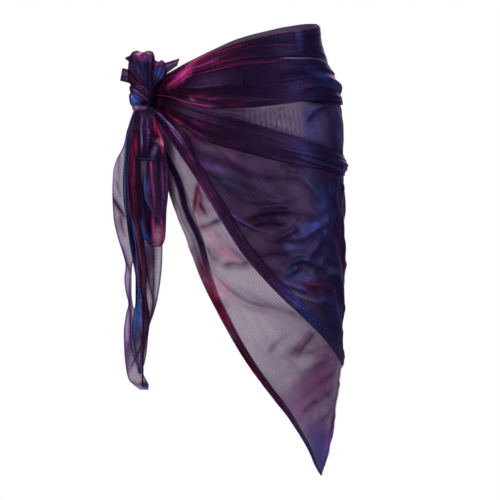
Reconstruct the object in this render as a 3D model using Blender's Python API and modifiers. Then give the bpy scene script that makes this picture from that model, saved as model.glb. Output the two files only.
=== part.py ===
"""A sheer hip scarf, worn: one triangle of cloth wound round the hips and tied at the wearer's right hip.

Metres, +Z up, +X to the wearer's left, +Y to the wearer's back. The origin is the middle of the hips'
hollow, level with the waist folds. Angles go round the body from the front (0) over +X (90) to the
back (180). Tables are in millimetres and degrees.
"""

import math

import bmesh
import bpy
from mathutils import Matrix, Vector

MM = 0.001
WALL = 1.2  # thickness of one layer of cloth
GAP = 0.5  # clear space between two layers
LAYER = WALL + GAP
HEM_LAYER = LAYER + 0.3

# The hollow that the scarf is worn round: one row for each level of the hips.
BODY_COLUMNS = ("z", "half_width", "front_depth", "back_depth")
BODY = (
    (-720, 163, 102, 110),
    (-520, 167, 103, 110),
    (-420, 171, 104, 112),
    (-300, 173, 106, 116),
    (-200, 172, 108, 124),
    (-120, 172, 108, 130),
    (-70, 169, 106, 127),
    (-20, 158, 102, 116),
    (20, 143, 96, 104),
    (60, 131, 90, 94),
    (110, 128, 88, 92),
)

# Heights of the scarf's top edge and folds, one row for each angle round the hips.
EDGE_COLUMNS = ("angle", "top", "crease", "fold_low")
EDGES = (
    (-68, -12, -23, -38),
    (-50, 10, -12, -44),
    (-35, 25, -3, -54),
    (-20, 40, 9, -63),
    (0, 55, 19, -62),
    (20, 67, 24, -56),
    (40, 74, 27, -49),
    (60, 78, 26, -47),
    (78, 83, 16, -49),
    (95, 88, 6, -52),
    (110, 92, 4, -52),
    (125, 93, 6, -48),
    (145, 90, 12, -41),
    (165, 82, 13, -35),
    (185, 70, 10, -33),
    (205, 50, 2, -34),
    (225, 28, -8, -38),
    (245, 7, -18, -42),
    (268, -9, -26, -46),
    (290, -16, -29, -45),
)

# The lower band, from the knot to the far hip, where it narrows to nothing.
HIP_COLUMNS = ("angle", "hip_top", "hip_low")
HIP_EDGES = (
    (-68, -41, -56),
    (-50, -47, -76),
    (-35, -57, -98),
    (-20, -68, -122),
    (0, -84, -139),
    (20, -101, -154),
    (40, -116, -165),
    (60, -131, -171),
    (78, -140, -175),
    (95, -146, -176),
    (110, -152, -172),
    (125, -158, -168),
)

# The scarf's lower edge: down the front hem, round the right side to the point, and up the back hem.
HEM_COLUMNS = ("angle", "z")
FRONT_HEM = (
    (-68, -65),
    (-50, -111),
    (-35, -160),
    (-20, -226),
    (0, -318),
    (20, -384),
    (40, -432),
    (60, -472),
    (78, -498),
    (95, -514),
)
SIDE_HEM = (
    (95, -514),
    (99, -530),
    (105, -575),
    (110, -607),
    (115, -640),
    (120, -680),
    (124.5, -706),
)
BACK_HEM = (
    (124.5, -706),
    (128, -697),
    (140, -652),
    (152, -606),
    (163.5, -568),
    (179.5, -506),
    (195, -427),
    (206.5, -359),
    (217.5, -283),
    (225, -242),
    (231.5, -201),
    (236, -173),
    (245, -135),
    (260, -100),
    (275, -80),
    (290, -66),
)
WIDTH_COLUMNS = ("angle", "width")
FRONT_HEM_WIDTHS = ((-68, 6), (-50, 16), (0, 21), (95, 20))
SIDE_HEM_WIDTHS = ((95, 12), (115, 11), (125, 4))
BACK_HEM_WIDTHS = ((124, 3), (150, 9), (205, 16), (290, 7))
HEM_ROLL = 1.2  # how far a folded edge swells
KNOT_ANGLE = -68
SEAM_ANGLE = 95
POINT_ANGLE = 124.5
END_ANGLE = 290

# Soft folds in the two panels: a ridge from one place to another, with its height and half width.
RIDGE_COLUMNS = ("from_angle", "from_z", "to_angle", "to_z", "height", "spread")
FRONT_RIDGES = (
    (-28, -150, -8, -172, 4, 11),
    (-16, -214, 12, -290, 5, 9),
    (-2, -214, 34, -206, 5, 12),
    (8, -250, 40, -250, 5, 9),
    (26, -300, 62, -302, 6, 12),
    (30, -352, 60, -372, 5, 10),
    (38, -200, 54, -242, 5, 9),
    (62, -212, 88, -252, 4, 12),
)
BACK_RIDGES = (
    (104, -470, 150, -575, 7, 12),
    (104, -430, 160, -520, 6, 13),
    (108, -360, 165, -440, 6, 14),
    (112, -290, 178, -352, 6, 15),
    (118, -210, 190, -262, 6, 15),
    (140, -120, 205, -175, 5, 14),
    (215, -140, 262, -60, 4, 10),
    (118, -560, 134, -650, 5, 9),
)
RIDGE_END = 22.0  # length over which a ridge fades at each end
CALM = 16.0  # distance over which a panel's folds fade towards a hem or a band
HEM_CALM = 52.0  # height over the lower edge that is left smooth for the hem to lie on
MEAN_RADIUS = 145.0  # of the hips, where the folds' places are measured

# How far a band's cloth stands out of its layer: one row for each angle.
PUFF_COLUMNS = ("angle", "waist", "fold", "hip")
PUFFS = (
    (-68, 0.6, 0.6, 0.6),
    (-45, 2.5, 2.5, 2.5),
    (0, 1.5, 2.0, 2.5),
    (45, 1.0, 3.0, 3.0),
    (75, 1.0, 6.5, 5.0),
    (95, 1.0, 7.5, 5.5),
    (120, 1.0, 5.0, 2.5),
    (200, 1.5, 3.0, 1.0),
    (250, 2.5, 2.5, 1.0),
    (290, 0.6, 0.6, 0.6),
)
# Near the knot the whole cloth lifts off the hips and runs out to it.
KNOT_LIFT = 8.2
LIFT_SPAN = 16.0

KNOT = Vector((-176, -57, -36))
KNOT_TURN, KNOT_TILT = math.radians(-35), math.radians(40)
KNOT_FRAME = (
    Matrix.Translation(KNOT) @ Matrix.Rotation(KNOT_TURN, 4, "Z") @ Matrix.Rotation(KNOT_TILT, 4, "Y")
)
CORE_RADIUS, CORE_HEIGHT = 8.0, 26.0
WRAP_RADIUS, WRAP_THICK, WRAP_BREADTH, WRAP_DEPTH = 17.5, 7.0, 2.0, 0.72
COLLAR = Vector((-187.2, -52, -63.2))
COLLAR_RADIUS, COLLAR_THICK, COLLAR_BREADTH = 12.0, 3.2, 2.4

# Hanging ends of the cloth: one row for each height, with the place of the left and right edges.
TAIL_COLUMNS = ("z", "left", "right", "left_y", "right_y")
SHEER_TAIL = (
    (-72.2, -196, -182, -42, -44),
    (-96, -205, -193, -37, -42),
    (-133, -216, -199, -32, -41),
    (-164, -226, -203, -28, -39),
    (-192, -230, -206, -26, -38),
    (-247, -228, -206, -26, -38),
    (-297, -218, -202, -28, -38),
    (-327, -208, -200, -32, -37),
    (-366, -210, -197, -32, -38),
    (-400, -203, -194, -34, -39),
    (-430, -209, -192, -34, -40),
    (-464, -211, -190, -34, -41),
    (-497, -209, -186, -34, -42),
    (-523, -205, -180, -34, -43),
    (-549, -184, -170, -38, -44),
)
BLUE_TAIL = (
    (-71, -198, -178, -49, -52),
    (-100, -200, -188, -49, -53),
    (-133, -209, -198, -49, -54),
    (-185, -210, -198, -49, -55),
    (-237, -209, -195, -49, -55),
    (-289, -204, -192, -49, -55),
    (-327, -199, -188, -49, -55),
    (-358, -193, -181, -49, -55),
    (-393, -190, -177, -49, -56),
    (-427, -194, -175, -48, -57),
    (-462, -197, -175, -48, -57),
    (-490, -195, -177, -48, -56),
    (-521, -186, -178, -49, -53),
)
RED_TAIL = (
    (-71.5, -197, -184, -57, -59),
    (-115, -192, -179, -60, -66),
    (-158, -199, -185, -60, -67),
    (-202, -199, -184, -60, -67),
    (-254, -195, -179, -60, -67),
    (-297, -190, -173, -60, -67),
    (-332, -185, -170, -61, -67),
    (-375, -180, -167, -61, -67),
    (-410, -177, -165, -61, -67),
    (-445, -177, -165, -61, -67),
    (-479, -178, -168, -61, -66),
    (-510, -181, -173, -61, -65),
    (-545, -182, -176, -61, -63),
)
LONG_TAIL = (
    (-72, -185, -173, -64, -65),
    (-104, -174, -158, -71, -72),
    (-150, -176, -148, -72, -75),
    (-219, -173, -142, -72, -76),
    (-306, -166, -142, -72, -77),
    (-348, -163, -144, -73, -77),
    (-375, -162, -148, -73, -77),
    (-393, -164, -152, -73, -77),
    (-427, -171, -159, -72, -76),
    (-455, -174, -164, -72, -75),
    (-479, -176, -168, -71, -74),
    (-500, -175, -170, -71, -73),
)
HANGING_LOOP = (
    (-57.1, -173, -160, -69.6, -69.6),
    (-100, -177, -145, -85, -90),
    (-133, -180, -138, -87, -94),
    (-165, -183, -135, -87, -95),
    (-202, -184, -133, -87, -95),
    (-237, -181, -133, -87, -95),
    (-272, -172, -136, -88, -95),
    (-291, -165, -139, -89, -94),
    (-301, -160, -142, -90, -93),
)
SHORT_LOOP = (
    (-58, -184.5, -174.5, -76.3, -76.3),
    (-90, -186, -160, -97, -101),
    (-120, -188, -152, -102, -106),
    (-142, -188, -147, -102, -107),
    (-150, -187, -147, -102, -106),
)
HANGING_DEPTH, SHORT_DEPTH = 8.0, 5.0
LOOP_RIPPLE, BOW_RIPPLE = 0.9, 2.0
CORNER_CUP = 2.0

# Bow loops above the knot: one row for each height over the loop's foot.
BOW_COLUMNS = ("rise", "left", "right", "depth")
TOP_BOW = (
    (0, -6, 3, 4),
    (12, -22, 4, 7),
    (20, -32, 5, 9),
    (34, -37, 7, 12),
    (45, -35, 9, 12),
    (54, -29, 8, 9),
    (60, -22, 4, 4),
)
SIDE_BOW = (
    (0, -5, 4, 3),
    (10, -7, 9, 6),
    (22, -7, 14, 9),
    (33, -4, 14, 8),
    (42, 2, 9, 4),
)
BOWS = {
    "bow_loop_top": {"rows": TOP_BOW, "foot": Vector((-163, -64, -15.5)), "back": 0, "pleats": 3},
    "bow_loop_side": {"rows": SIDE_BOW, "foot": Vector((-161, -57.5, -15)), "back": 24, "pleats": 2},
}

# Small corners of cloth beside the bow loops: near low, near high, far high and far low points.
CORNERS = {
    "corner_upper_left": ((-196, -52.5, 12), (-189, -52.5, 30), (-199, -50, 34), (-211, -48, 28)),
    "corner_lower_left": ((-196, -54, -8), (-195.6, -57, 6), (-215, -46, 10), (-218, -44, -12)),
    "corner_right": ((-145, -50, 0), (-145, -48, 16), (-112, -66, 30), (-116, -68, 14)),
}

COLOURS = {
    "sheer": ((0.20, 0.13, 0.22, 1), 0.55, 0.0),
    "gathered": ((0.05, 0.02, 0.07, 1), 0.40, 0.2),
    "hem": ((0.10, 0.03, 0.14, 1), 0.40, 0.2),
    "knot": ((0.07, 0.04, 0.16, 1), 0.40, 0.2),
    "tail": ((0.13, 0.08, 0.18, 1), 0.50, 0.1),
}


def clear_scene():
    for item in list(bpy.data.objects):
        bpy.data.objects.remove(item, do_unlink=True)


def material(name):
    made = bpy.data.materials.get(name)
    if made is None:
        colour, roughness, metallic = COLOURS[name]
        made = bpy.data.materials.new(name)
        made.use_nodes = True
        shader = made.node_tree.nodes["Principled BSDF"]
        shader.inputs["Base Color"].default_value = colour
        shader.inputs["Roughness"].default_value = roughness
        shader.inputs["Metallic"].default_value = metallic
    return made


def slopes(xs, ys):
    """Slopes for a smooth curve through points that never overshoots them."""
    steps = [(y1 - y0) / (x1 - x0) for x0, x1, y0, y1 in zip(xs, xs[1:], ys, ys[1:])]
    inner = [2 * a * b / (a + b) if a * b > 0 else 0.0 for a, b in zip(steps, steps[1:])]
    return [steps[0], *inner, steps[-1]]


def curve_through(rows, columns, name):
    """A function of the table's first column that passes smoothly through the named one."""
    xs = [row[0] for row in rows]
    ys = [row[columns.index(name)] for row in rows]
    if xs[0] > xs[-1]:
        xs, ys = xs[::-1], ys[::-1]
    ms = slopes(xs, ys)

    def value(x):
        x = min(max(x, xs[0]), xs[-1])
        i = max(k for k in range(len(xs) - 1) if xs[k] <= x)
        span = xs[i + 1] - xs[i]
        t = (x - xs[i]) / span
        return (
            ys[i] * (1 + 2 * t) * (1 - t) ** 2
            + ys[i + 1] * t * t * (3 - 2 * t)
            + span * (ms[i] * t * (1 - t) ** 2 - ms[i + 1] * t * t * (1 - t))
        )

    return value


def curves(rows, columns):
    return {name: curve_through(rows, columns, name) for name in columns[1:]}


body = curves(BODY, BODY_COLUMNS)
edge = curves(EDGES, EDGE_COLUMNS) | curves(HIP_EDGES, HIP_COLUMNS)
puff = curves(PUFFS, PUFF_COLUMNS)
hem_curves = [curve_through(rows, HEM_COLUMNS, "z") for rows in (FRONT_HEM, SIDE_HEM, BACK_HEM)]


def hem(angle):
    """Height of the scarf's lower edge."""
    front, side, back = hem_curves
    if angle <= SEAM_ANGLE:
        return front(angle)
    return side(angle) if angle <= POINT_ANGLE else back(angle)


edge["hem"] = hem


def smooth_step(t):
    t = min(max(t, 0.0), 1.0)
    return t * t * (3 - 2 * t)


def on_hips(angle, z, out=0.0):
    """The point at an angle and a height, out millimetres outside the hips' hollow."""
    width = body["half_width"](z)
    sine, cosine = math.sin(math.radians(angle)), math.cos(math.radians(angle))
    depth = body["front_depth"](z) if cosine > 0 else body["back_depth"](z)
    outward = Vector((sine / width, -cosine / depth, 0)).normalized()
    return Vector((width * sine, -depth * cosine, z)) + outward * out


def unrolled(angle, z):
    return Vector((math.radians(angle) * MEAN_RADIUS, z))


def ridge_lift(row, angle, z):
    """How far one fold lifts the cloth here: a soft ridge that fades at its ends."""
    ridge = dict(zip(RIDGE_COLUMNS, row))
    start = unrolled(ridge["from_angle"], ridge["from_z"])
    along = unrolled(ridge["to_angle"], ridge["to_z"]) - start
    length = along.length
    along.normalize()
    here = unrolled(angle, z) - start
    run = here.dot(along)
    aside = (here - along * run).length
    fade = smooth_step(run / RIDGE_END) * smooth_step((length - run) / RIDGE_END)
    return ridge["height"] * fade * math.exp(-((aside / ridge["spread"]) ** 2))


def knot_lift(angle):
    """The cloth runs out to the knot from both sides of it."""
    near = min(angle - KNOT_ANGLE, END_ANGLE - angle)
    return KNOT_LIFT * smooth_step(1 - near / LIFT_SPAN) ** 2


def panel_out(angle, z):
    """How far the panels stand outside the hips' hollow: their soft folds and the lift at the knot."""
    folds = sum(ridge_lift(row, angle, z) for row in FRONT_RIDGES + BACK_RIDGES)
    clear = smooth_step((z - hem(angle) - HEM_CALM) / CALM)
    clear *= smooth_step((edge["fold_low"](angle) - z) / CALM)
    if angle < POINT_ANGLE:
        from_band = max(z - edge["hip_top"](angle), edge["hip_low"](angle) - z)
        clear *= smooth_step(from_band / CALM)
    return folds * clear + knot_lift(angle)


def steps(start, end, count):
    """Evenly spaced values from start to end."""
    return [start + (end - start) * k / count for k in range(count + 1)]


FRONT_ANGLES = steps(KNOT_ANGLE, SEAM_ANGLE - 0.1, 30)
SIDE_ANGLES = steps(SEAM_ANGLE + 0.1, POINT_ANGLE, 6)
BACK_ANGLES = SIDE_ANGLES + steps(POINT_ANGLE, END_ANGLE, 28)[1:]


def levels(parts):
    """Rows between named edge lines, from the lowest up: each is a pair of lines and a share."""
    rows = []
    for low, high, count in parts:
        rows += [(low, high, share) for share in steps(0.0, 1.0, count)[:-1]]
    low, high, count = parts[-1]
    return rows + [(low, high, 1.0)]


def level_height(level, angle):
    low, high, share = level
    bottom = edge[low](angle)
    return bottom + (edge[high](angle) - bottom) * share


WAIST_ROWS = ("crease", "top", 4)
FOLD_ROWS = ("fold_low", "crease", 7)
HIP_ROWS = ("hip_low", "hip_top", 5)


def cloth(name, look, columns, rows, place):
    """A sheet of cloth over a grid of columns and rows, given its thickness outwards."""
    mesh = bpy.data.meshes.new(name)
    shape = bmesh.new()
    bmesh.ops.create_grid(shape, x_segments=len(columns) - 1, y_segments=len(rows) - 1, size=1)
    for vert in shape.verts:
        column = round((vert.co.x + 1) / 2 * (len(columns) - 1))
        row = round((vert.co.y + 1) / 2 * (len(rows) - 1))
        vert.co = place(columns[column], rows[row]) * MM
    shape.to_mesh(mesh)
    shape.free()
    made = bpy.data.objects.new(name, mesh)
    scarf.objects.link(made)
    mesh.materials.append(material(look))
    mesh.shade_smooth()
    solidify = made.modifiers.new("wall", "SOLIDIFY")
    solidify.thickness = WALL * MM
    solidify.offset = 1.0
    return made


def panel(name, columns, parts):
    """A stretch of the sheer cloth, from the top edge down to the hem."""

    def place(angle, level):
        z = level_height(level, angle)
        return on_hips(angle, z, panel_out(angle, z))

    return cloth(name, "sheer", columns, levels(parts), place)


def band(name, columns, part, layer, swell, pleats):
    """A gathered stretch between two edge lines, made from the panel's points and moved out."""

    def place(angle, level):
        share = level[2]
        arch = math.sin(math.pi * share)
        wave = 0.6 + 0.4 * math.cos(2 * math.pi * pleats * (share - 0.5))
        out = knot_lift(angle) + layer * LAYER + puff[swell](angle) * arch * wave
        return on_hips(angle, level_height(level, angle), out)

    return cloth(name, "gathered", columns, levels([part]), place)


def hem_strip(name, columns, widths, row_count):
    """The folded edge of the cloth, lying on the panel and as wide as stated, square to the edge."""
    width_at = curve_through(widths, WIDTH_COLUMNS, "width")
    reach = 0.25  # degrees to each side, for the direction of the edge

    def place(angle, share):
        here = on_hips(angle, hem(angle))
        ahead, behind = min(angle + reach, columns[-1]), max(angle - reach, columns[0])
        along = on_hips(ahead, hem(ahead)) - on_hips(behind, hem(behind))
        run = math.hypot(along.x, along.y)
        slope = Vector((run, along.z)).normalized()
        across = Vector((-slope.y, slope.x)) * width_at(angle) * share
        turn = on_hips(angle + reach, here.z) - on_hips(angle - reach, here.z)
        shifted = angle + across.x * 2 * reach / turn.length
        z = here.z + across.y
        out = panel_out(shifted, z) + HEM_LAYER + HEM_ROLL * math.sin(math.pi * share)
        return on_hips(shifted, z, out)

    return cloth(name, "hem", columns, steps(0.0, 1.0, row_count), place)


def tail(name, table, pleats, depth, column_count):
    """A hanging end: each height runs between its two edges in a few soft pleats."""
    left, right, left_y, right_y = (curve_through(table, TAIL_COLUMNS, c) for c in TAIL_COLUMNS[1:])

    def place(share, z):
        x = left(z) + (right(z) - left(z)) * share
        y = left_y(z) + (right_y(z) - left_y(z)) * share
        wave = math.sin(2 * math.pi * pleats * share) * min(depth, (right(z) - left(z)) / 7)
        return Vector((x, y + wave, z))

    heights = steps(table[-1][0], table[0][0], column_count)
    return cloth(name, "tail", steps(0.0, 1.0, 6), heights, place)


def both_ways(turn, sharpness):
    """Front (-1) or back (1) of a loop, turning smoothly through nought at its far end."""
    return math.copysign(min(1.0, abs(turn) * sharpness) ** 0.7, turn)


def hanging_loop(name, table, depth, turn_count):
    """Cloth that hangs down, turns at the bottom and goes up again behind itself."""
    left, right, left_y, right_y = (curve_through(table, TAIL_COLUMNS, c) for c in TAIL_COLUMNS[1:])
    top, bottom = table[0][0], table[-1][0]

    def place(share, turn):
        z = bottom + (top - bottom) * math.sin(math.pi / 2 * abs(turn)) ** 1.4
        open_by = depth * (0.4 + 0.6 * math.cos(math.pi / 2 * abs(turn) ** 3))
        x = left(z) + (right(z) - left(z)) * share
        y = left_y(z) + (right_y(z) - left_y(z)) * share
        y += open_by / 2 * both_ways(turn, 3.2) + LOOP_RIPPLE * math.sin(4 * math.pi * share)
        return Vector((x, y, z))

    return cloth(name, "tail", steps(0.0, 1.0, 6), steps(1.0, -1.0, turn_count), place)


def bow_loop(name, rows, foot, back, pleats, turn_count=16):
    """A loop that stands up from the knot: a fan of pleats that folds over at the top."""
    left, right, depth = (curve_through(rows, BOW_COLUMNS, c) for c in BOW_COLUMNS[1:])
    height = rows[-1][0]
    lean = Matrix.Rotation(math.radians(-back), 3, "X")

    def place(share, turn):
        rise = height * math.cos(math.pi / 2 * abs(turn)) ** 0.75
        side = both_ways(turn, 3.0)
        x = left(rise) + (right(rise) - left(rise)) * share
        wave = BOW_RIPPLE * rise / height * math.sin(2 * math.pi * pleats * share)
        y = side * depth(rise) / 2 + wave * abs(side)
        return foot + lean @ Vector((x, y, rise))

    return cloth(name, "knot", steps(0.0, 1.0, 9), steps(-1.0, 1.0, turn_count), place)


def corner(name, points):
    """A small corner of the cloth that stands out from the knot, slightly cupped."""
    near_low, near_high, far_high, far_low = (Vector(point) for point in points)

    def place(run, rise):
        near = near_low.lerp(near_high, rise)
        far = far_low.lerp(far_high, rise)
        return near.lerp(far, run) - Vector((0, CORNER_CUP * math.sin(math.pi * rise), 0))

    runs = steps(0.0, 1.0, 4) if near_low.x < far_low.x else steps(1.0, 0.0, 4)
    return cloth(name, "tail", runs, steps(0.0, 1.0, 3), place)


def finish_solid(name, shape, matrix):
    mesh = bpy.data.meshes.new(name)
    shape.to_mesh(mesh)
    shape.free()
    mesh.transform(matrix)
    for vert in mesh.vertices:
        vert.co *= MM
    made = bpy.data.objects.new(name, mesh)
    mesh.materials.append(material("knot"))
    mesh.shade_smooth()
    scarf.objects.link(made)
    return made


def knot_core():
    """The cloth pulled through the knot: a spindle with its folds twisting round it."""
    shape = bmesh.new()
    bmesh.ops.create_uvsphere(shape, u_segments=18, v_segments=12, radius=1.0)
    for vert in shape.verts:
        around = math.atan2(vert.co.y, vert.co.x)
        ridge = 1 + 0.10 * math.cos(5 * around + 3 * vert.co.z)
        vert.co.x *= CORE_RADIUS * ridge
        vert.co.y *= CORE_RADIUS * ridge * WRAP_DEPTH
        vert.co.z *= CORE_HEIGHT
    return finish_solid("knot_core", shape, KNOT_FRAME)


def ring(name, radius, thick, breadth, depth, folds, matrix, segments, sides):
    """A turn of cloth round the knot, with shallow folds along it."""
    shape = bmesh.new()
    bmesh.ops.create_grid(shape, x_segments=segments, y_segments=sides, size=math.pi)
    for vert in shape.verts:
        around, turn = vert.co.x, vert.co.y
        bulge = thick * (1 + 0.10 * math.cos(folds * turn + 2 * around))
        reach = radius + bulge * math.cos(turn)
        vert.co.x = reach * math.cos(around)
        vert.co.y = reach * math.sin(around) * depth
        vert.co.z = bulge * math.sin(turn) * breadth
    bmesh.ops.remove_doubles(shape, verts=shape.verts, dist=0.01)
    return finish_solid(name, shape, matrix)


def make_panels():
    over_hips = [("hem", "hip_low", 7), HIP_ROWS, ("hip_top", "fold_low", 2), FOLD_ROWS, WAIST_ROWS]
    panel("front_panel", FRONT_ANGLES, over_hips)
    panel("back_panel", BACK_ANGLES, [("hem", "fold_low", 9), FOLD_ROWS, WAIST_ROWS])


def make_bands():
    band("waist_band_front", FRONT_ANGLES, WAIST_ROWS, 1, "waist", 1)
    band("waist_band_back", BACK_ANGLES, WAIST_ROWS, 1, "waist", 1)
    band("fold_band_front", FRONT_ANGLES, FOLD_ROWS, 2, "fold", 2)
    band("fold_band_back", BACK_ANGLES, FOLD_ROWS, 2, "fold", 2)
    band("hip_band", FRONT_ANGLES + SIDE_ANGLES[1:], HIP_ROWS, 1, "hip", 1)


def make_hems():
    front = steps(KNOT_ANGLE + 1, SEAM_ANGLE - 0.1, 34)
    side = steps(SEAM_ANGLE + 2, POINT_ANGLE - 3, 8)
    back = steps(POINT_ANGLE + 0.5, END_ANGLE - 1, 36)
    hem_strip("front_hem", front, FRONT_HEM_WIDTHS, 3)
    hem_strip("side_hem", side, SIDE_HEM_WIDTHS, 2)
    hem_strip("back_hem", back, BACK_HEM_WIDTHS, 2)


def make_knot():
    knot_core()
    ring("knot_wrap", WRAP_RADIUS, WRAP_THICK, WRAP_BREADTH, WRAP_DEPTH, 3, KNOT_FRAME, 24, 12)
    below = Matrix.Translation(COLLAR)
    ring("knot_collar", COLLAR_RADIUS, COLLAR_THICK, COLLAR_BREADTH, 0.9, 2, below, 20, 8)
    for name, bow in BOWS.items():
        bow_loop(name, bow["rows"], bow["foot"], bow["back"], bow["pleats"])
    for name, points in CORNERS.items():
        corner(name, points)


def make_tails():
    tail("sheer_tail", SHEER_TAIL, 1, 2.5, 24)
    tail("blue_tail", BLUE_TAIL, 1.5, 1.6, 20)
    tail("red_tail", RED_TAIL, 1.5, 1.6, 20)
    tail("long_tail", LONG_TAIL, 1, 1.8, 18)
    hanging_loop("hanging_loop", HANGING_LOOP, HANGING_DEPTH, 22)
    hanging_loop("short_loop", SHORT_LOOP, SHORT_DEPTH, 14)


clear_scene()
scarf = bpy.data.collections.new("hip_scarf")
bpy.context.scene.collection.children.link(scarf)
make_panels()
make_bands()
make_hems()
make_knot()
make_tails()
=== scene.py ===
"""The looks of a sheer hip scarf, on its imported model: soft folds, a tied knot and two-colour organza.

Metres, +Z up, +X to the wearer's left, +Y to the wearer's back. Tables are in millimetres and degrees.
Angles go round the body from the front (0) over +X (90) to the back (180). Numbers that are given
without a unit are shares, or counts of cloth layers.
"""

import math
from functools import partial

import bpy
import numpy as np
from mathutils import Matrix, Vector


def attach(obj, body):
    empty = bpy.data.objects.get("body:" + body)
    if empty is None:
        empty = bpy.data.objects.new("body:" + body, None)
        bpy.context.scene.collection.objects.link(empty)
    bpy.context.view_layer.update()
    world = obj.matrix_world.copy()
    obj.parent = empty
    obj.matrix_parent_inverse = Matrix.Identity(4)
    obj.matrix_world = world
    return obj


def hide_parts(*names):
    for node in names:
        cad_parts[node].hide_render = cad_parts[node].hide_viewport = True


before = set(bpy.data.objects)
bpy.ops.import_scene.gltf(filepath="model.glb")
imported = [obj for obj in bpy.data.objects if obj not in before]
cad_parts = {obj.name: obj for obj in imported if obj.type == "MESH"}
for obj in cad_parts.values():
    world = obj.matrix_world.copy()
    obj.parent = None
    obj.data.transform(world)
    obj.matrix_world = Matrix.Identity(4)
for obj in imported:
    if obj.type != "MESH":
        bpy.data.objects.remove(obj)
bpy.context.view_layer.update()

MM = 0.001
MEAN_RADIUS = 145.0  # of the hips, where places on them are unrolled to millimetres
UNROLL = math.radians(MEAN_RADIUS)  # millimetres round the hips for one degree
WALL = 1.2  # thickness of one layer in the CAD model
LAYER = 1.7  # from one layer of the CAD model to the next
KNOT_ANGLE = -68
SEAM_ANGLE = 95
POINT_ANGLE = 124.5
END_ANGLE = 290

# The hollow that the scarf is worn round, and its edges and folds, as in the CAD model.
BODY_COLUMNS = ("z", "half_width", "front_depth", "back_depth")
BODY = (
    (-720, 163, 102, 110), (-520, 167, 103, 110), (-420, 171, 104, 112), (-300, 173, 106, 116),
    (-200, 172, 108, 124), (-120, 172, 108, 130), (-70, 169, 106, 127), (-20, 158, 102, 116),
    (20, 143, 96, 104), (60, 131, 90, 94), (110, 128, 88, 92),
)
EDGE_COLUMNS = ("angle", "top", "crease", "fold_low")
EDGES = (
    (-68, -12, -23, -38), (-50, 10, -12, -44), (-35, 25, -3, -54), (-20, 40, 9, -63), (0, 55, 19, -62),
    (20, 67, 24, -56), (40, 74, 27, -49), (60, 78, 26, -47), (78, 83, 16, -49), (95, 88, 6, -52),
    (110, 92, 4, -52), (125, 93, 6, -48), (145, 90, 12, -41), (165, 82, 13, -35), (185, 70, 10, -33),
    (205, 50, 2, -34), (225, 28, -8, -38), (245, 7, -18, -42), (268, -9, -26, -46), (290, -16, -29, -45),
)
HIP_COLUMNS = ("angle", "hip_top", "hip_low")
HIP_EDGES = (
    (-68, -41, -56), (-50, -47, -76), (-35, -57, -98), (-20, -68, -122), (0, -84, -139), (20, -101, -154),
    (40, -116, -165), (60, -131, -171), (78, -140, -175), (95, -146, -176), (110, -152, -172),
    (125, -158, -168),
)
HEM_COLUMNS = ("angle", "z")
FRONT_HEM = (
    (-68, -65), (-50, -111), (-35, -160), (-20, -226), (0, -318), (20, -384), (40, -432), (60, -472),
    (78, -498), (95, -514),
)
SIDE_HEM = (
    (95, -514), (99, -530), (105, -575), (110, -607), (115, -640), (120, -680), (124.5, -706),
)
BACK_HEM = (
    (124.5, -706), (128, -697), (140, -652), (152, -606), (163.5, -568), (179.5, -506), (195, -427),
    (206.5, -359), (217.5, -283), (225, -242), (231.5, -201), (236, -173), (245, -135), (260, -100),
    (275, -80), (290, -66),
)

# Each hem's width, and how far it hangs beyond the edge line where it goes into the knot.
WIDTH_COLUMNS = ("angle", "width", "beyond")
FRONT_HEM_WIDTHS = ((-68, 8, 0), (-50, 20, 0), (-20, 22, 0), (0, 21, 0), (95, 20, 0))
SIDE_HEM_WIDTHS = ((95, 12, 0), (115, 11, 0), (125, 4, 0))
BACK_HEM_WIDTHS = (
    (124, 3, 0), (150, 10, 0), (190, 15, 0), (204, 20, 0), (216, 30, 0), (232, 34, 0), (246, 26, 6),
    (262, 14, 9), (290, 7, 9),
)

# How far the gathered bands puff out between their edges.
PUFF_COLUMNS = ("angle", "waist", "fold", "hip")
PUFFS = (
    (-68, 0.6, 0.6, 0.6), (-45, 2.5, 2.5, 2.5), (0, 1.5, 2.0, 2.5), (45, 1.0, 3.0, 3.0),
    (75, 1.0, 6.5, 5.0), (95, 1.0, 7.5, 5.5), (120, 1.0, 5.0, 2.5), (200, 1.5, 3.0, 1.0),
    (250, 2.5, 2.5, 1.0), (290, 0.6, 0.6, 0.6),
)

# The layers rise towards the knot: by how much, and over how many degrees.
KNOT_LIFT = 8.2
LIFT_SPAN = 16.0

# Colours painted into the cloth's reflected colour: its two thread colours, painted highlights where light
# catches a fold, and the dark ones (navy, black) as painted shade.
SHEEN_AND_SHADE_TINTS = {
    "plum": (0.045, 0.015, 0.048),
    "wine": (0.11, 0.008, 0.035),
    "mauve": (0.15, 0.03, 0.12),
    "magenta": (0.62, 0.03, 0.25),
    "crimson": (0.36, 0.012, 0.06),
    "rose": (0.75, 0.22, 0.36),
    "violet": (0.19, 0.06, 0.37),
    "lilac": (0.38, 0.26, 0.55),
    "blue": (0.025, 0.085, 0.36),
    "sky": (0.12, 0.24, 0.50),
    "navy": (0.006, 0.014, 0.07),
    "black": (0.004, 0.003, 0.008),
}
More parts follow.
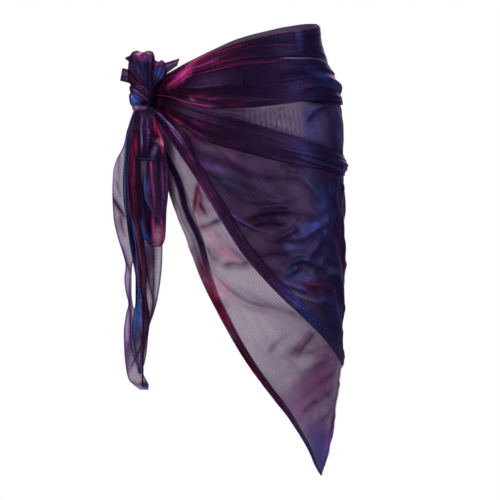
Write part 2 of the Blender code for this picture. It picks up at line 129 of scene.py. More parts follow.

# Creases: the line they follow (angle, z), how far they lift the cloth, their half width, how many layers
# they add where they lap (which also sets the painted shade in their trough), and the tint and strength of
# the painted highlight along their crest, which is painted shade where the tint is dark.
CREASE_COLUMNS = ("path", "lift", "spread", "laps", "tint", "painted_light")
FRONT_CREASES = (
    (((-7, -262), (1, -252), (8, -242), (16, -238), (24, -238), (36, -241)), 4.6, 6, 3.2, "black", 0.5),
    (((0, -268), (8, -258), (17, -256), (27, -262)), 3.0, 6, 2.6, "black", 0.4),
    (((12, -296), (20, -283), (27, -274), (36, -264)), 3.6, 6, 2.0, "plum", 0.3),
    (((38, -322), (45, -302), (50, -284), (58, -262)), 3.6, 7, 1.8, "navy", 0.6),
    (((4, -314), (14, -306), (21, -305), (31, -309)), 3.6, 10, 1.2, "plum", 0.4),
    (((16, -351), (23, -335), (28, -326), (34, -321), (40, -325), (48, -333), (62, -339)),
     4.6, 7, 2.2, "blue", 0.16),
    (((22, -354), (28, -342), (35, -334)), 3.0, 5, 1.5, "navy", 0.4),
    (((30, -372), (42, -366), (56, -372), (66, -384)), 3.0, 7, 1.5, "wine", 0.2),
    (((44, -392), (58, -398), (72, -412)), 3.0, 7, 1.4, "navy", 0.6),
    (((-26, -186), (-22, -194), (-18, -208), (-13, -227), (-8, -245), (-2, -258), (4, -268), (10, -274),
      (18, -281)),
     2.6, 3, 0.7, "violet", 0.5),
    (((-24, -196), (-16, -222), (-8, -250), (0, -270)), 2.4, 6, 1.2, "violet", 0.25),
    (((20, -374), (34, -388), (52, -401)), 2.4, 4, 0.5, "sky", 0.15),
    (((18, -360), (30, -370), (44, -384)), 2.4, 4, 0.5, "blue", 0.25),
    (((-36, -95), (-33, -107), (-30, -125), (-28, -147), (-25, -170)), 2.5, 8, 1.6, "black", 0.2),
    (((-22, -118), (-13, -132), (-6, -152), (2, -170)), 2.0, 8, 0.4, "rose", 0.08),
    (((-31, -128), (-14, -148), (0, -165), (16, -188)), 3.0, 12, 0.6, "violet", 0.12),
    (((-28, -152), (-12, -182), (-3, -208), (6, -232)), 3.0, 11, 0.8, "blue", 0.08),
    (((-18, -166), (0, -188), (12, -202), (28, -206)), 2.6, 10, 0.7, "plum", 0.2),
    (((-10, -150), (8, -172), (24, -184)), 2.4, 8, 0.7, "plum", 0.3),
    (((-4, -214), (8, -222), (22, -220), (34, -210)), 2.6, 8, 0.9, "plum", 0.3),
    (((34, -176), (43, -202), (51, -221), (60, -240)), 2.8, 8, 0.6, "sky", 0.08),
    (((34, -90), (39, -78), (43, -65), (51, -56), (64, -51)), 3.0, 7, 2.0, "navy", 0.5),
    (((50, -180), (60, -205), (70, -240), (76, -290)), 3.4, 11, 1.2, "navy", 0.5),
    (((66, -182), (74, -230), (80, -300), (84, -380)), 2.8, 12, 1.0, "navy", 0.4),
    (((52, -300), (64, -330), (76, -372), (86, -430)), 3.4, 13, 1.0, "navy", 0.4),
    (((30, -285), (42, -272), (58, -252), (74, -232)), 2.8, 9, 1.0, "blue", 0.16),
    (((0, -290), (14, -330), (24, -352)), 2.0, 9, 0.5, "plum", 0.2),
    (((8, -282), (20, -288), (34, -286), (46, -276)), 2.6, 7, 1.0, "plum", 0.3),
)
# Pale upright streaks in the gap between the two gathered bands: small creases with a painted lilac
# highlight and painted shade.
WINDOW_STREAKS = tuple(
    (((angle, -56), (angle + 1, -84), (angle + 2, -114)), 0.4, 2.6, 0.7, "lilac", 0.12)
    for angle in range(0, 36, 3)
)
BACK_CREASES = (
    (((214, -188), (211, -198), (208, -210), (209, -227), (206, -238), (203, -256)),
     3.4, 6, 1.8, "crimson", 2.6),
    (((206, -200), (204, -218), (201, -238), (197, -250)), 2.0, 5, 0.3, "rose", 0.2),
    (((210, -271), (202, -266), (198, -260), (191, -250)), 2.8, 5, 2.4, "navy", 0.6),
    (((204, -264), (200, -280), (195, -296)), 2.4, 11, 0.3, "rose", 0.9),
    (((195, -296), (189, -312), (182, -327)), 2.4, 10, 0.3, "rose", 1.0),
    (((206, -296), (202, -318), (196, -334)), 2.0, 7, 0.8, "plum", 0.2),
    (((196, -340), (187, -333), (182, -337), (174, -324)), 2.6, 5, 1.8, "plum", 0.2),
    (((205, -334), (196, -366), (188, -386), (179, -404), (168, -412), (152, -420)),
     2.8, 7, 0.7, "wine", 0.3),
    (((132, -444), (139, -456), (142, -464), (145, -479), (151, -506)), 2.4, 5, 1.1, "wine", 0.5),
    (((112, -462), (135, -478), (152, -492)), 2.4, 10, 0.5, "wine", 0.5),
    (((132, -446), (138, -459), (146, -478), (155, -500)), 2.2, 4, 1.0, "wine", 0.3),
    (((106, -486), (124, -496), (142, -512)), 2.0, 9, 0.4, "wine", 0.5),
    (((104, -500), (122, -522), (140, -550), (156, -584)), 3.4, 14, 0.4, "wine", 0.7),
    (((104, -536), (124, -556), (138, -576), (150, -604)), 2.6, 10, 0.4, "wine", 0.6),
    (((128, -566), (137, -577), (146, -596)), 2.0, 4, 1.1, "wine", 0.4),
    (((106, -566), (122, -590), (136, -620)), 2.2, 9, 0.3, "wine", 0.5),
    (((110, -608), (116, -636), (120, -664), (125, -694)), 2.6, 8, 0.7, "violet", 0.7),
    (((104, -500), (130, -506), (152, -518), (172, -536)), 2.2, 12, 0.3, "wine", 0.3),
    (((105, -494), (128, -484), (146, -474), (166, -462)), 2.0, 12, 0.3, "wine", 0.3),
    (((150, -440), (164, -470), (172, -500)), 2.2, 9, 0.5, "rose", 0.1),
    (((104, -440), (130, -430), (160, -400), (190, -350)), 3.0, 14, 0.5, "plum", 0.25),
    (((102, -400), (130, -372), (160, -336), (196, -280)), 3.2, 15, 0.4, "blue", 0.15),
    (((104, -340), (134, -306), (170, -262), (204, -214)), 3.4, 15, 0.5, "violet", 0.15),
    (((106, -270), (140, -236), (176, -200), (214, -160)), 3.2, 14, 0.5, "plum", 0.25),
    (((112, -200), (150, -168), (190, -140), (228, -104)), 3.0, 12, 0.6, "violet", 0.2),
    (((130, -120), (170, -100), (210, -84), (250, -68)), 2.4, 10, 0.5, "blue", 0.2),
    (((200, -300), (214, -250), (228, -190), (244, -120), (262, -72)), 3.0, 11, 0.5, "wine", 0.3),
    (((182, -200), (206, -150), (232, -104), (262, -62)), 2.6, 9, 0.5, "rose", 0.12),
    (((150, -62), (190, -72), (230, -66), (268, -54)), 2.0, 7, 0.6, "plum", 0.3),
)

# Soft patches of painted highlight where the cloth catches light, and of painted shade (the dark tints) or
# extra layers where it lies deeper: their middle, half sizes along and across, turn, tint, strength of the
# painted light, and the layers that they add.
PATCH_COLUMNS = ("across", "height", "long", "wide", "turn", "tint", "painted_light", "laps")
FRONT_PATCHES = (
    (-17, -164, 24, 8, -14, "violet", 0.16, 0.1),
    (-26, -158, 12, 6, -14, "violet", 0.18, 0.1),
    (-11, -191, 24, 9, -10, "sky", 0.07, 0.3),
    (49, -212, 36, 17, -60, "blue", 0.12, 0.8),
    (38, -276, 38, 19, 30, "blue", 0.12, 0.7),
    (46, -250, 34, 10, 60, "blue", 0.06, 0.5),
    (30, -300, 20, 8, 20, "sky", 0.07, 0.1),
    (60, -342, 16, 6, -10, "sky", 0.16, 0.0),
    (33, -353, 22, 9, 10, "blue", 0.24, 0.2),
    (26, -340, 14, 4, 30, "sky", 0.12, 0.0),
    (46, -376, 34, 10, -14, "wine", 0.22, 1.0),
    (14, -254, 26, 9, 0, "black", 0.8, 0.8),
    (14, -310, 26, 9, 6, "black", 0.6, 0.8),
    (60, -400, 30, 12, -24, "navy", 0.6, 1.0),
    (-8, -232, 30, 14, -40, "wine", 0.1, 0.3),
    (42, -94, 18, 36, -4, "blue", 0.13, 0.7),
    (43, -66, 14, 8, 40, "blue", 0.14, 0.4),
    (64, -86, 20, 36, 0, "navy", 0.5, 1.6),
    (66, -66, 10, 8, 0, "wine", 0.3, 0.0),
    (-33, -124, 14, 22, 20, "wine", 0.22, 1.0),
    (4, -92, 40, 10, -10, "plum", 0.1, 0.1),
    (8, -200, 40, 20, -20, "plum", 0.1, 0.35),
    (16, -268, 26, 10, 6, "plum", 0.1, 0.4),
    (56, -262, 70, 18, 80, "navy", 0.4, 0.7),
    (76, -250, 90, 22, 88, "wine", 0.16, 0.9),
    (80, -400, 90, 20, 88, "wine", 0.1, 1.0),
)
BACK_PATCHES = (
    (210, -212, 28, 3.5, -82, "crimson", 1.6, 2.2),
    (203, -272, 15, 6, 50, "rose", 1.2, 0.4),
    (191, -310, 20, 6, 40, "rose", 1.2, 0.4),
    (197, -292, 14, 4, 50, "rose", 0.9, 0.3),
    (197, -372, 32, 10, 50, "rose", 1.2, 0.2),
    (126, -672, 60, 22, 70, "blue", 0.32, 1.3),
    (122, -636, 34, 16, 70, "violet", 0.2, 0.6),
    (112, -620, 20, 8, 80, "magenta", 0.2, 0.8),
    (128, -542, 66, 20, -34, "mauve", 0.6, 1.1),
    (134, -522, 50, 13, -41, "mauve", 0.6, 1.0),
    (130, -578, 54, 10, -36, "mauve", 0.7, 0.6),
    (128, -612, 44, 9, -40, "mauve", 0.5, 0.5),
    (150, -486, 30, 9, -30, "plum", 0.3, 0.4),
    (194, -378, 26, 9, -44, "rose", 0.36, 0.0),
    (193, -302, 26, 13, -50, "rose", 0.34, 0.1),
    (206, -222, 40, 12, -80, "rose", 0.12, 0.2),
    (223, -172, 38, 9, 72, "blue", 0.14, 0.8),
    (170, -440, 40, 20, -30, "rose", 0.06, 0.0),
    (150, -440, 60, 24, 40, "plum", 0.2, 0.25),
    (198, -320, 60, 12, -62, "plum", 0.1, 0.25),
    (214, -176, 60, 14, 78, "wine", 0.3, 0.3),
    (150, -600, 60, 22, 50, "plum", 0.4, 0.3),
)
BAND_PATCHES = (
    (-46, -8, 22, 9, 34, "magenta", 1.1, 0.0),
    (-41, 10, 18, 6, 38, "magenta", 0.6, 0.0),
    (-38, 18, 16, 3, 34, "rose", 0.3, 0.0),
    (-43, 0, 13, 1.8, 36, "rose", 0.5, 0.0),
    (-51, -16, 10, 1.6, 30, "rose", 0.45, 0.0),
    (-40, -8, 10, 1.4, 34, "rose", 0.35, 0.0),
    (-46, 6, 12, 1.5, 40, "black", 3.0, 0.3),
    (-44, -11, 14, 1.5, 32, "black", 2.5, 0.3),
    (-27, 36, 30, 6, 28, "magenta", 0.2, 0.0),
    (-34, 22, 26, 10, 30, "crimson", 0.2, 0.0),
    (-14, 22, 34, 14, 14, "wine", 0.22, 0.0),
    (-29, -41, 14, 4, 10, "crimson", 0.22, 0.0),
    (-33, -45, 6, 2.5, -40, "rose", 0.22, 0.0),
    (-20, -46, 12, 2.5, 6, "crimson", 0.16, 0.0),
    (-6, -56, 14, 4, 0, "wine", 0.3, 0.0),
    (-43, -84, 9, 6, -30, "crimson", 0.5, 0.0),
    (-50, -70, 10, 5, -50, "crimson", 0.25, 0.0),
    (-28, -88, 10, 5, -30, "wine", 0.4, 0.0),
    (-28, -108, 14, 5, -40, "wine", 0.4, 0.0),
    (-4, -12, 60, 26, 0, "black", 0.9, 0.8),
    (0, -88, 60, 12, -20, "black", 0.9, 0.8),
    (-28, -24, 28, 9, 0, "black", 1.6, 0.8),
    (-35, -68, 24, 9, -24, "black", 1.6, 0.8),
    (45, 62, 10, 30, 0, "violet", 0.1, 0.0),
    (45, 62, 8, 26, 0, "blue", 0.1, 0.0),
    (54, 0, 26, 10, -20, "blue", 0.14, 0.0),
    (66, -16, 26, 8, -20, "blue", 0.12, 0.0),
    (33, -24, 12, 9, 0, "blue", 0.06, 0.0),
    (36, -140, 16, 15, 0, "blue", 0.12, 0.0),
    (74, -8, 14, 12, 0, "wine", 0.2, 0.0),
)
HEM_PATCHES = (
    (28, -380, 24, 9, -36, "navy", 0.9, 0.3),
    (31, -384, 10, 6, -36, "blue", 0.35, 0.3),
    (40, -410, 26, 5, -33, "blue", 0.16, 0.8),
    (60, -456, 40, 9, -33, "black", 2.0, 1.8),
    (66, -470, 30, 4, -33, "blue", 0.1, 0.4),
    (80, -490, 30, 8, -20, "navy", 0.6, 0.8),
)

# Pleats in the gathered bands: their share of the band's height at both ends and the middle, the angles
# they run between, and their height, half width (as a share), laps (how deep the painted shade under the
# pleat is), and the tint and strength of the painted highlight along it, which is painted shade where the
# tint is dark.
PLEAT_COLUMNS = (
    "start", "middle", "end", "from_angle", "to_angle", "height", "width", "laps", "tint", "painted_light",
)
WAIST_FRONT_PLEATS = (
    (0.5, 0.4, 0.3, -68, -14, 1.3, 0.12, 0.3, "magenta", 0.35),
    (0.88, 0.82, 0.78, -68, 10, 1.0, 0.08, 0.3, "magenta", 0.16),
    (0.16, 0.14, 0.16, -68, 16, 1.0, 0.08, 0.5, "crimson", 0.12),
    (0.97, 0.97, 0.97, -68, 70, 0.4, 0.04, 0.0, "rose", 0.14),
    (0.66, 0.6, 0.5, -40, 40, 0.7, 0.08, 0.4, "plum", 0.2),
    (0.5, 0.46, 0.52, 10, 95, 0.7, 0.12, 0.4, "plum", 0.2),
    (0.24, 0.3, 0.22, 34, 95, 0.9, 0.09, 0.4, "navy", 0.3),
    (0.8, 0.84, 0.8, 40, 95, 0.7, 0.06, 0.4, "blue", 0.1),
)
FOLD_FRONT_PLEATS = (
    (0.1, 0.05, 0.03, -68, -14, 1.8, 0.05, 0.4, "magenta", 0.42),
    (0.94, 0.93, 0.95, -68, 30, 1.2, 0.04, 0.5, "crimson", 0.22),
    (0.62, 0.54, 0.5, -68, 8, 0.8, 0.08, 0.4, "wine", 0.12),
    (0.34, 0.24, 0.2, -68, 4, 0.8, 0.08, 0.4, "wine", 0.12),
    (0.985, 0.985, 0.985, 22, 90, 1.2, 0.02, 0.2, "lilac", 0.5),
    (0.5, 0.55, 0.5, 16, 95, 1.5, 0.06, 0.6, "navy", 0.4),
    (0.78, 0.8, 0.9, 30, 95, 1.6, 0.05, 0.6, "navy", 0.4),
    (0.3, 0.36, 0.34, 36, 95, 1.5, 0.06, 0.6, "blue", 0.12),
    (0.16, 0.14, 0.22, 42, 95, 1.4, 0.05, 0.6, "navy", 0.3),
)
HIP_PLEATS = (
    (0.8, 0.92, 0.95, -68, 40, 0.8, 0.05, 0.5, "wine", 0.2),
    (0.52, 0.64, 0.72, -68, 30, 0.7, 0.09, 0.4, "wine", 0.12),
    (0.3, 0.36, 0.36, -68, 0, 0.8, 0.08, 0.4, "wine", 0.1),
    (0.06, 0.06, 0.08, -60, 70, 1.0, 0.04, 0.4, "wine", 0.2),
    (0.4, 0.5, 0.6, 10, 110, 1.6, 0.08, 0.6, "navy", 0.4),
    (0.3, 0.24, 0.4, 24, 118, 1.6, 0.07, 0.6, "blue", 0.12),
    (0.75, 0.8, 0.7, 30, 110, 1.4, 0.06, 0.6, "navy", 0.4),
)
WAIST_BACK_PLEATS = (
    (0.3, 0.36, 0.3, 95, 200, 1.2, 0.1, 0.5, "navy", 0.4),
    (0.66, 0.6, 0.64, 95, 180, 1.1, 0.08, 0.5, "blue", 0.3),
    (0.14, 0.18, 0.22, 120, 250, 1.2, 0.08, 0.5, "plum", 0.4),
    (0.46, 0.5, 0.56, 160, 290, 1.5, 0.09, 0.6, "wine", 0.5),
    (0.82, 0.76, 0.8, 150, 290, 1.3, 0.07, 0.5, "violet", 0.3),
    (0.3, 0.3, 0.3, 220, 290, 1.4, 0.1, 0.6, "magenta", 0.4),
    (0.66, 0.64, 0.64, 230, 290, 1.4, 0.1, 0.6, "crimson", 0.5),
)
FOLD_BACK_PLEATS = (
    (0.74, 0.8, 0.86, 95, 190, 1.6, 0.06, 0.7, "navy", 0.4),
    (0.5, 0.6, 0.66, 95, 230, 1.7, 0.07, 0.7, "blue", 0.4),
    (0.36, 0.4, 0.5, 95, 260, 1.6, 0.06, 0.7, "plum", 0.4),
    (0.22, 0.24, 0.34, 95, 290, 1.5, 0.06, 0.7, "violet", 0.3),
    (0.09, 0.1, 0.16, 100, 290, 1.3, 0.05, 0.6, "plum", 0.4),
    (0.84, 0.78, 0.8, 180, 290, 1.5, 0.07, 0.6, "wine", 0.5),
    (0.6, 0.62, 0.62, 225, 290, 1.5, 0.08, 0.6, "magenta", 0.4),
)

# Stripes along the hems of painted highlight, and of painted shade where the tint is dark, with the layers
# they add; and the soft folds in them: share of the width, height, half width.
TONE_COLUMNS = ("from_angle", "to_angle", "share", "width", "tint", "painted_light", "laps")
HEM_TONES = {
    "front_hem_fold": (
        (-70, -2, 0.06, 0.09, "violet", 0.5, 0.4),
        (-70, -14, 0.4, 0.34, "mauve", 0.24, 1.3),
        (-70, -34, 0.8, 0.1, "violet", 0.4, 0.5),
        (-70, -40, 0.96, 0.05, "lilac", 0.6, 0.3),
        (-34, 34, 0.4, 0.4, "plum", 0.5, 1.5),
        (-12, 26, 0.75, 0.12, "black", 0.2, 1.2),
        (-2, 26, 0.05, 0.08, "wine", 0.7, 0.4),
        (14, 56, 0.45, 0.34, "navy", 0.7, 1.8),
        (36, 62, 0.72, 0.14, "blue", 0.07, 1.0),
        (30, 60, 0.3, 0.34, "navy", 0.6, 2.6),
        (50, 96, 0.3, 0.34, "navy", 0.2, 2.6),
        (44, 100, 0.5, 0.8, "black", 5.0, 4.0),
        (50, 96, 0.06, 0.08, "blue", 0.1, 1.2),
        (56, 96, 0.92, 0.08, "wine", 0.3, 1.0),
    ),
    "side_hem_fold": (
        (106, 118, 0.5, 0.5, "magenta", 0.14, 1.6),
        (112, 130, 0.5, 0.6, "violet", 0.3, 0.6),
    ),
    "back_hem_fold": (
        (122, 190, 0.3, 0.4, "black", 0.3, 2.4),
        (122, 176, 0.8, 0.16, "wine", 0.5, 0.9),
        (150, 206, 0.36, 0.34, "crimson", 0.32, 2.0),
        (150, 210, 0.72, 0.16, "black", 0.2, 2.4),
        (188, 215, 0.46, 0.42, "crimson", 1.5, 2.2),
        (228, 300, -0.2, 0.3, "wine", 0.6, 1.4),
        (190, 300, 0.03, 0.05, "rose", 0.3, 0.3),
        (208, 300, 0.28, 0.24, "rose", 0.08, 0.0),
        (206, 266, 0.76, 0.16, "navy", 2.4, 3.6),
        (206, 222, 0.94, 0.06, "black", 0.3, 1.2),
        (228, 266, 0.8, 0.16, "blue", 0.28, 0.8),
        (226, 262, 0.52, 0.05, "sky", 0.12, 0.0),
    ),
}
HEM_FOLD_COLUMNS = ("share", "height", "width")
HEM_FOLDS = {
    "front_hem_fold": ((0.3, 0.8, 0.12), (0.66, 1.0, 0.14), (0.92, 0.6, 0.08)),
    "side_hem_fold": ((0.4, 0.6, 0.2),),
    "back_hem_fold": ((0.5, 0.7, 0.16), (0.82, 0.5, 0.12)),
}

# Small creases scattered between the main ones, with their painted shade and faint painted highlight, and
# broad waves in the panels.
WRINKLE_COLUMNS = ("seed", "count", "angles", "heights", "turn", "tint")
WRINKLES = (
    (3, 46, (-50, 92), (-500, -90), -32, "plum"),
    (5, 26, (24, 92), (-480, -160), 64, "navy"),
    (7, 40, (98, 220), (-640, -120), 34, "plum"),
    (11, 30, (140, 280), (-420, -60), -52, "violet"),
)
RIPPLE_COLUMNS = ("turn", "length", "phase", "height", "wander")
PANEL_RIPPLES = (
    (-38, 61, 0.4, 0.9, 1.3), (-30, 37, 1.9, 0.5, 1.9), (-52, 96, 4.1, 1.3, 1.1),
    (-44, 23, 2.7, 0.22, 2.3), (70, 83, 0.9, 0.5, 1.5),
)
BACK_RIPPLES = (
    (38, 67, 1.4, 1.0, 1.3), (28, 41, 0.9, 0.5, 1.9), (52, 104, 2.1, 1.4, 1.1), (40, 25, 3.7, 0.24, 2.3),
    (-64, 88, 5.9, 0.5, 1.5),
)


def smooth_step(t):
    t = np.clip(t, 0.0, 1.0)
    return t * t * (3 - 2 * t)


def bell(t):
    return np.exp(-(t**2))


def turned(u, v, degrees):
    """The places (u, v) measured along and across a line at this angle."""
    cosine, sine = math.cos(math.radians(degrees)), math.sin(math.radians(degrees))
    return u * cosine + v * sine, v * cosine - u * sine


def steps(start, end, count):
    return np.linspace(start, end, count + 1)


def grid(across, down):
    """The values that change across a grid and those that change down it, both over the whole grid."""
    return np.broadcast_arrays(across[None, :], down[:, None])


def unit(vectors):
    return vectors / np.maximum(np.linalg.norm(vectors, axis=-1, keepdims=True), 1e-9)


def curve_through(rows, columns, name):
    """A function of the table's first column that passes smoothly through the named one."""
    xs = np.array([row[0] for row in rows], float)
    ys = np.array([row[columns.index(name)] for row in rows], float)
    if xs[0] > xs[-1]:
        xs, ys = xs[::-1], ys[::-1]
    rises = np.diff(ys) / np.diff(xs)
    before, after = rises[:-1], rises[1:]
    total = np.where(before * after > 0, before + after, 1.0)
    inner = np.where(before * after > 0, 2 * before * after / total, 0.0)
    slopes = np.concatenate(([rises[0]], inner, [rises[-1]]))

    def value(x):
        x = np.clip(x, xs[0], xs[-1])
        i = np.clip(np.searchsorted(xs, x, side="right") - 1, 0, len(xs) - 2)
        span = xs[i + 1] - xs[i]
        t = (x - xs[i]) / span
        return (
            ys[i] * (1 + 2 * t) * (1 - t) ** 2
            + ys[i + 1] * t * t * (3 - 2 * t)
            + span * (slopes[i] * t * (1 - t) ** 2 - slopes[i + 1] * t * t * (1 - t))
        )

    return value


def curves(rows, columns):
    return {name: curve_through(rows, columns, name) for name in columns[1:]}


body = curves(BODY, BODY_COLUMNS)
edge = curves(EDGES, EDGE_COLUMNS) | curves(HIP_EDGES, HIP_COLUMNS)
puff = curves(PUFFS, PUFF_COLUMNS)
hem_curves = [curve_through(rows, HEM_COLUMNS, "z") for rows in (FRONT_HEM, SIDE_HEM, BACK_HEM)]


def hem(angle):
    """Height of the scarf's lower edge."""
    front, side, back = hem_curves
    lower = np.where(angle <= POINT_ANGLE, side(angle), back(angle))
    return np.where(angle <= SEAM_ANGLE, front(angle), lower)


def on_hips(angle, z, out):
    """Points at angles and heights, out millimetres outside the hips' hollow."""
    width = body["half_width"](z)
    sine, cosine = np.sin(np.radians(angle)), np.cos(np.radians(angle))
    depth = np.where(cosine > 0, body["front_depth"](z), body["back_depth"](z))
    out_x, out_y = sine / width, -cosine / depth
    size = np.hypot(out_x, out_y)
    x = width * sine + out_x / size * out
    y = -depth * cosine + out_y / size * out
    return np.stack([x, y, z + 0 * x], -1)


HEM_REACH = 0.25  # degrees to both sides over which a hem's direction is measured


def across_hem(angle, first, last):
    """The way a hem's width runs on the hips, for one millimetre: degrees round them and height."""
    ahead, behind = np.minimum(angle + HEM_REACH, last), np.maximum(angle - HEM_REACH, first)
    along = on_hips(ahead, hem(ahead), 0) - on_hips(behind, hem(behind), 0)
    run = np.hypot(along[..., 0], along[..., 1])
    size = np.hypot(run, along[..., 2])
    span = on_hips(angle + HEM_REACH, hem(angle), 0) - on_hips(angle - HEM_REACH, hem(angle), 0)
    sideways = -along[..., 2] / size * 2 * HEM_REACH / np.linalg.norm(span, axis=-1)
    return sideways, run / size


def upper_hem_edge(angle):
    """Height to which the folded hem behind covers the cloth."""
    base = steps(POINT_ANGLE, END_ANGLE, 160)
    width = curve_through(BACK_HEM_WIDTHS, WIDTH_COLUMNS, "width")(base)
    sideways, upward = across_hem(base, POINT_ANGLE, END_ANGLE)
    return np.interp(angle, base + sideways * width, hem(base) + upward * width)


PATH_POINTS = 80
SOFTENING = 24  # rounds in which each point of a crease's line moves towards its neighbours


def softened(path, unroll):
    """Points along a softened line through a crease's places, in millimetres."""
    corners = np.array([(across * unroll, height) for across, height in path])
    lengths = np.concatenate(([0.0], np.cumsum(np.hypot(*np.diff(corners, axis=0).T))))
    at = np.linspace(0, lengths[-1], PATH_POINTS)
    line = np.stack([np.interp(at, lengths, corners[:, k]) for k in (0, 1)], -1)
    for _ in range(SOFTENING):
        line[1:-1] = (line[:-2] + 2 * line[1:-1] + line[2:]) / 4
    return line


class Finish:
    """What the folds do to a stretch of cloth: extra layers where they lap, painted shade, and tinted
    painted highlights.
    """

    def __init__(self, shape):
        self.laps = np.zeros(shape)
        self.shade = np.zeros(shape)
        self.painted_light = np.zeros(shape)
        self.tint = np.zeros(shape + (3,))

    # Paints the tint over a weight: a painted highlight, and painted shade with the dark tints.
    def paint(self, weight, tint, painted_light, where=slice(None)):
        amount = weight * painted_light
        self.painted_light[where] += amount
        self.tint[where] += amount[..., None] * np.array(SHEEN_AND_SHADE_TINTS[tint])


def creased(u, v, rows, finish, unroll=1.0):
    """How far the creases lift the cloth; finish takes their laps, the painted shade in their troughs and
    the painted highlight along them.
    """
    lift = np.zeros(u.shape)
    for row in rows:
        crease = dict(zip(CREASE_COLUMNS, row))
        spread = crease["spread"]
        line = softened(crease["path"], unroll)
        low, high = line.min(0) - 3 * spread, line.max(0) + 3 * spread
        near = (u > low[0]) & (u < high[0]) & (v > low[1]) & (v < high[1])
        du = u[near][:, None] - line[:, 0]
        dv = v[near][:, None] - line[:, 1]
        nearest = np.argmin(du * du + dv * dv, axis=1)
        picked = np.arange(len(nearest))
        along = np.gradient(line, axis=0)[nearest]
        along /= np.linalg.norm(along, axis=1)[:, None]
        aside = along[:, 0] * dv[picked, nearest] - along[:, 1] * du[picked, nearest]
        run = nearest / (len(line) - 1)
        fade = smooth_step(run * 3) * smooth_step((1 - run) * 3)
        fade *= 0.8 + 0.2 * np.sin(run * 9 + 5 * crease["path"][0][0])
        lift[near] += 1.2 * crease["lift"] * fade * bell(aside / spread)
        below = aside + 0.7 * spread
        sharp = bell(below / (0.34 * spread * (0.4 + 0.6 * fade)))
        soft = bell(below / (1.3 * spread))
        # Where the crease laps: extra layers, and the same amount of painted shade on the reflected tint.
        laps_and_painted_shade = crease["laps"] * fade * (0.70 * sharp + 0.40 * soft)
        finish.laps[near] += laps_and_painted_shade
        finish.shade[near] += laps_and_painted_shade
        # A painted highlight in the crease's tint along its crest, which is painted shade where the tint is
        # dark.
        painted_crest = fade * bell((aside - 0.35 * spread) / (0.7 * spread))
        finish.paint(painted_crest, crease["tint"], crease["painted_light"], near)
    return lift


def patched(u, v, rows, finish, unroll=1.0):
    """Adds soft patches of painted highlight, painted shade and extra layers to a finish."""
    for row in rows:
        patch = dict(zip(PATCH_COLUMNS, row))
        du, dv = u - patch["across"] * unroll, v - patch["height"]
        along, across = turned(du, dv, patch["turn"])
        run, side = along / patch["long"], across / patch["wide"]
        ragged = 1 + 0.25 * np.sin(du * 0.31 + 1.7 * np.sin(dv * 0.23)) * np.sin(dv * 0.43 + 0.9)
        weight = np.exp(-((run * run + side * side) * ragged) ** 1.2)
        finish.paint(weight, patch["tint"], patch["painted_light"])
        finish.laps += weight * patch["laps"]


def wrinkles(row):
    """Small faint creases between the main ones, scattered from a fixed seed."""
    kind = dict(zip(WRINKLE_COLUMNS, row))
    chance = np.random.default_rng(kind["seed"])
    made = []
    for _ in range(kind["count"]):
        angle, z = chance.uniform(*kind["angles"]), chance.uniform(*kind["heights"])
        turn = kind["turn"] + chance.normal(0, 22)
        length = chance.uniform(24, 90)
        bend = chance.normal(0, 0.16) * length
        path = []
        for t in (-0.5, -0.17, 0.17, 0.5):
            u, v = turned(t * length, bend * (0.25 - t * t) * 4, -turn)
            path.append((angle + math.degrees(u / MEAN_RADIUS), z + v))
        spread = chance.uniform(4, 11)
        lift, laps = chance.uniform(0.6, 1.8), chance.uniform(0.1, 0.4)
        made.append((tuple(path), lift, spread, laps, kind["tint"], 0.12))
    return tuple(made)


def rippled(angle, z, rows):
    """Broad uneven waves in the cloth, in millimetres."""
    u = np.radians(angle) * MEAN_RADIUS
    height = np.zeros_like(u)
    for row in rows:
        wave = dict(zip(RIPPLE_COLUMNS, row))
        along, across = turned(u, z, wave["turn"])
        turn = 2 * math.pi / wave["length"]
        bend = wave["wander"] * np.sin(along * turn * 0.31 + wave["phase"] * 2)
        height += wave["height"] * np.sin(across * turn + wave["phase"] + bend)
    return height


ALL_CREASES = FRONT_CREASES + WINDOW_STREAKS + BACK_CREASES
for row in WRINKLES:
    ALL_CREASES += wrinkles(row)


def knot_lift(angle):
    """How far every layer rises off the hips near the knot."""
    near = np.minimum(angle - KNOT_ANGLE, END_ANGLE - angle)
    return KNOT_LIFT * smooth_step(1 - near / LIFT_SPAN) ** 2


CLOTH_GAP = 0.8  # how far the panels stand clear of the hollow, away from the bands and the knot


def panel_out(angle, z, finish=None):
    """How far the panels stand outside the hips' hollow, with their folds and creases."""
    angle, z = np.broadcast_arrays(np.asarray(angle, float), np.asarray(z, float))
    finish = finish or Finish(angle.shape)
    folds = creased(angle * UNROLL, z, ALL_CREASES, finish, UNROLL)
    behind = smooth_step((angle - SEAM_ANGLE + 15) / 40)
    waves = (1 - behind) * rippled(angle, z, PANEL_RIPPLES) + behind * rippled(angle, z, BACK_RIPPLES)
    clear = smooth_step((edge["fold_low"](angle) - z) / 10)
    from_band = np.maximum(z - edge["hip_top"](angle), edge["hip_low"](angle) - z)
    clear = clear * np.where(angle < POINT_ANGLE, smooth_step(from_band / 9 + 0.1), 1.0)
    near_knot = smooth_step(np.minimum(angle - KNOT_ANGLE, END_ANGLE - angle) / 30)
    return (folds + waves + CLOTH_GAP) * clear * near_knot + knot_lift(angle) + WALL / 2


def surface_normals(points):
    down, across = np.gradient(points, axis=0), np.gradient(points, axis=1)
    return unit(np.cross(across, down))


# Plum, violet and blue, painted by the way the surface faces as a painted sheen.
FACING_SHEEN_COLOURS = ((0.018, 0.003, 0.014), (0.013, 0.005, 0.021), (0.009, 0.006, 0.028))


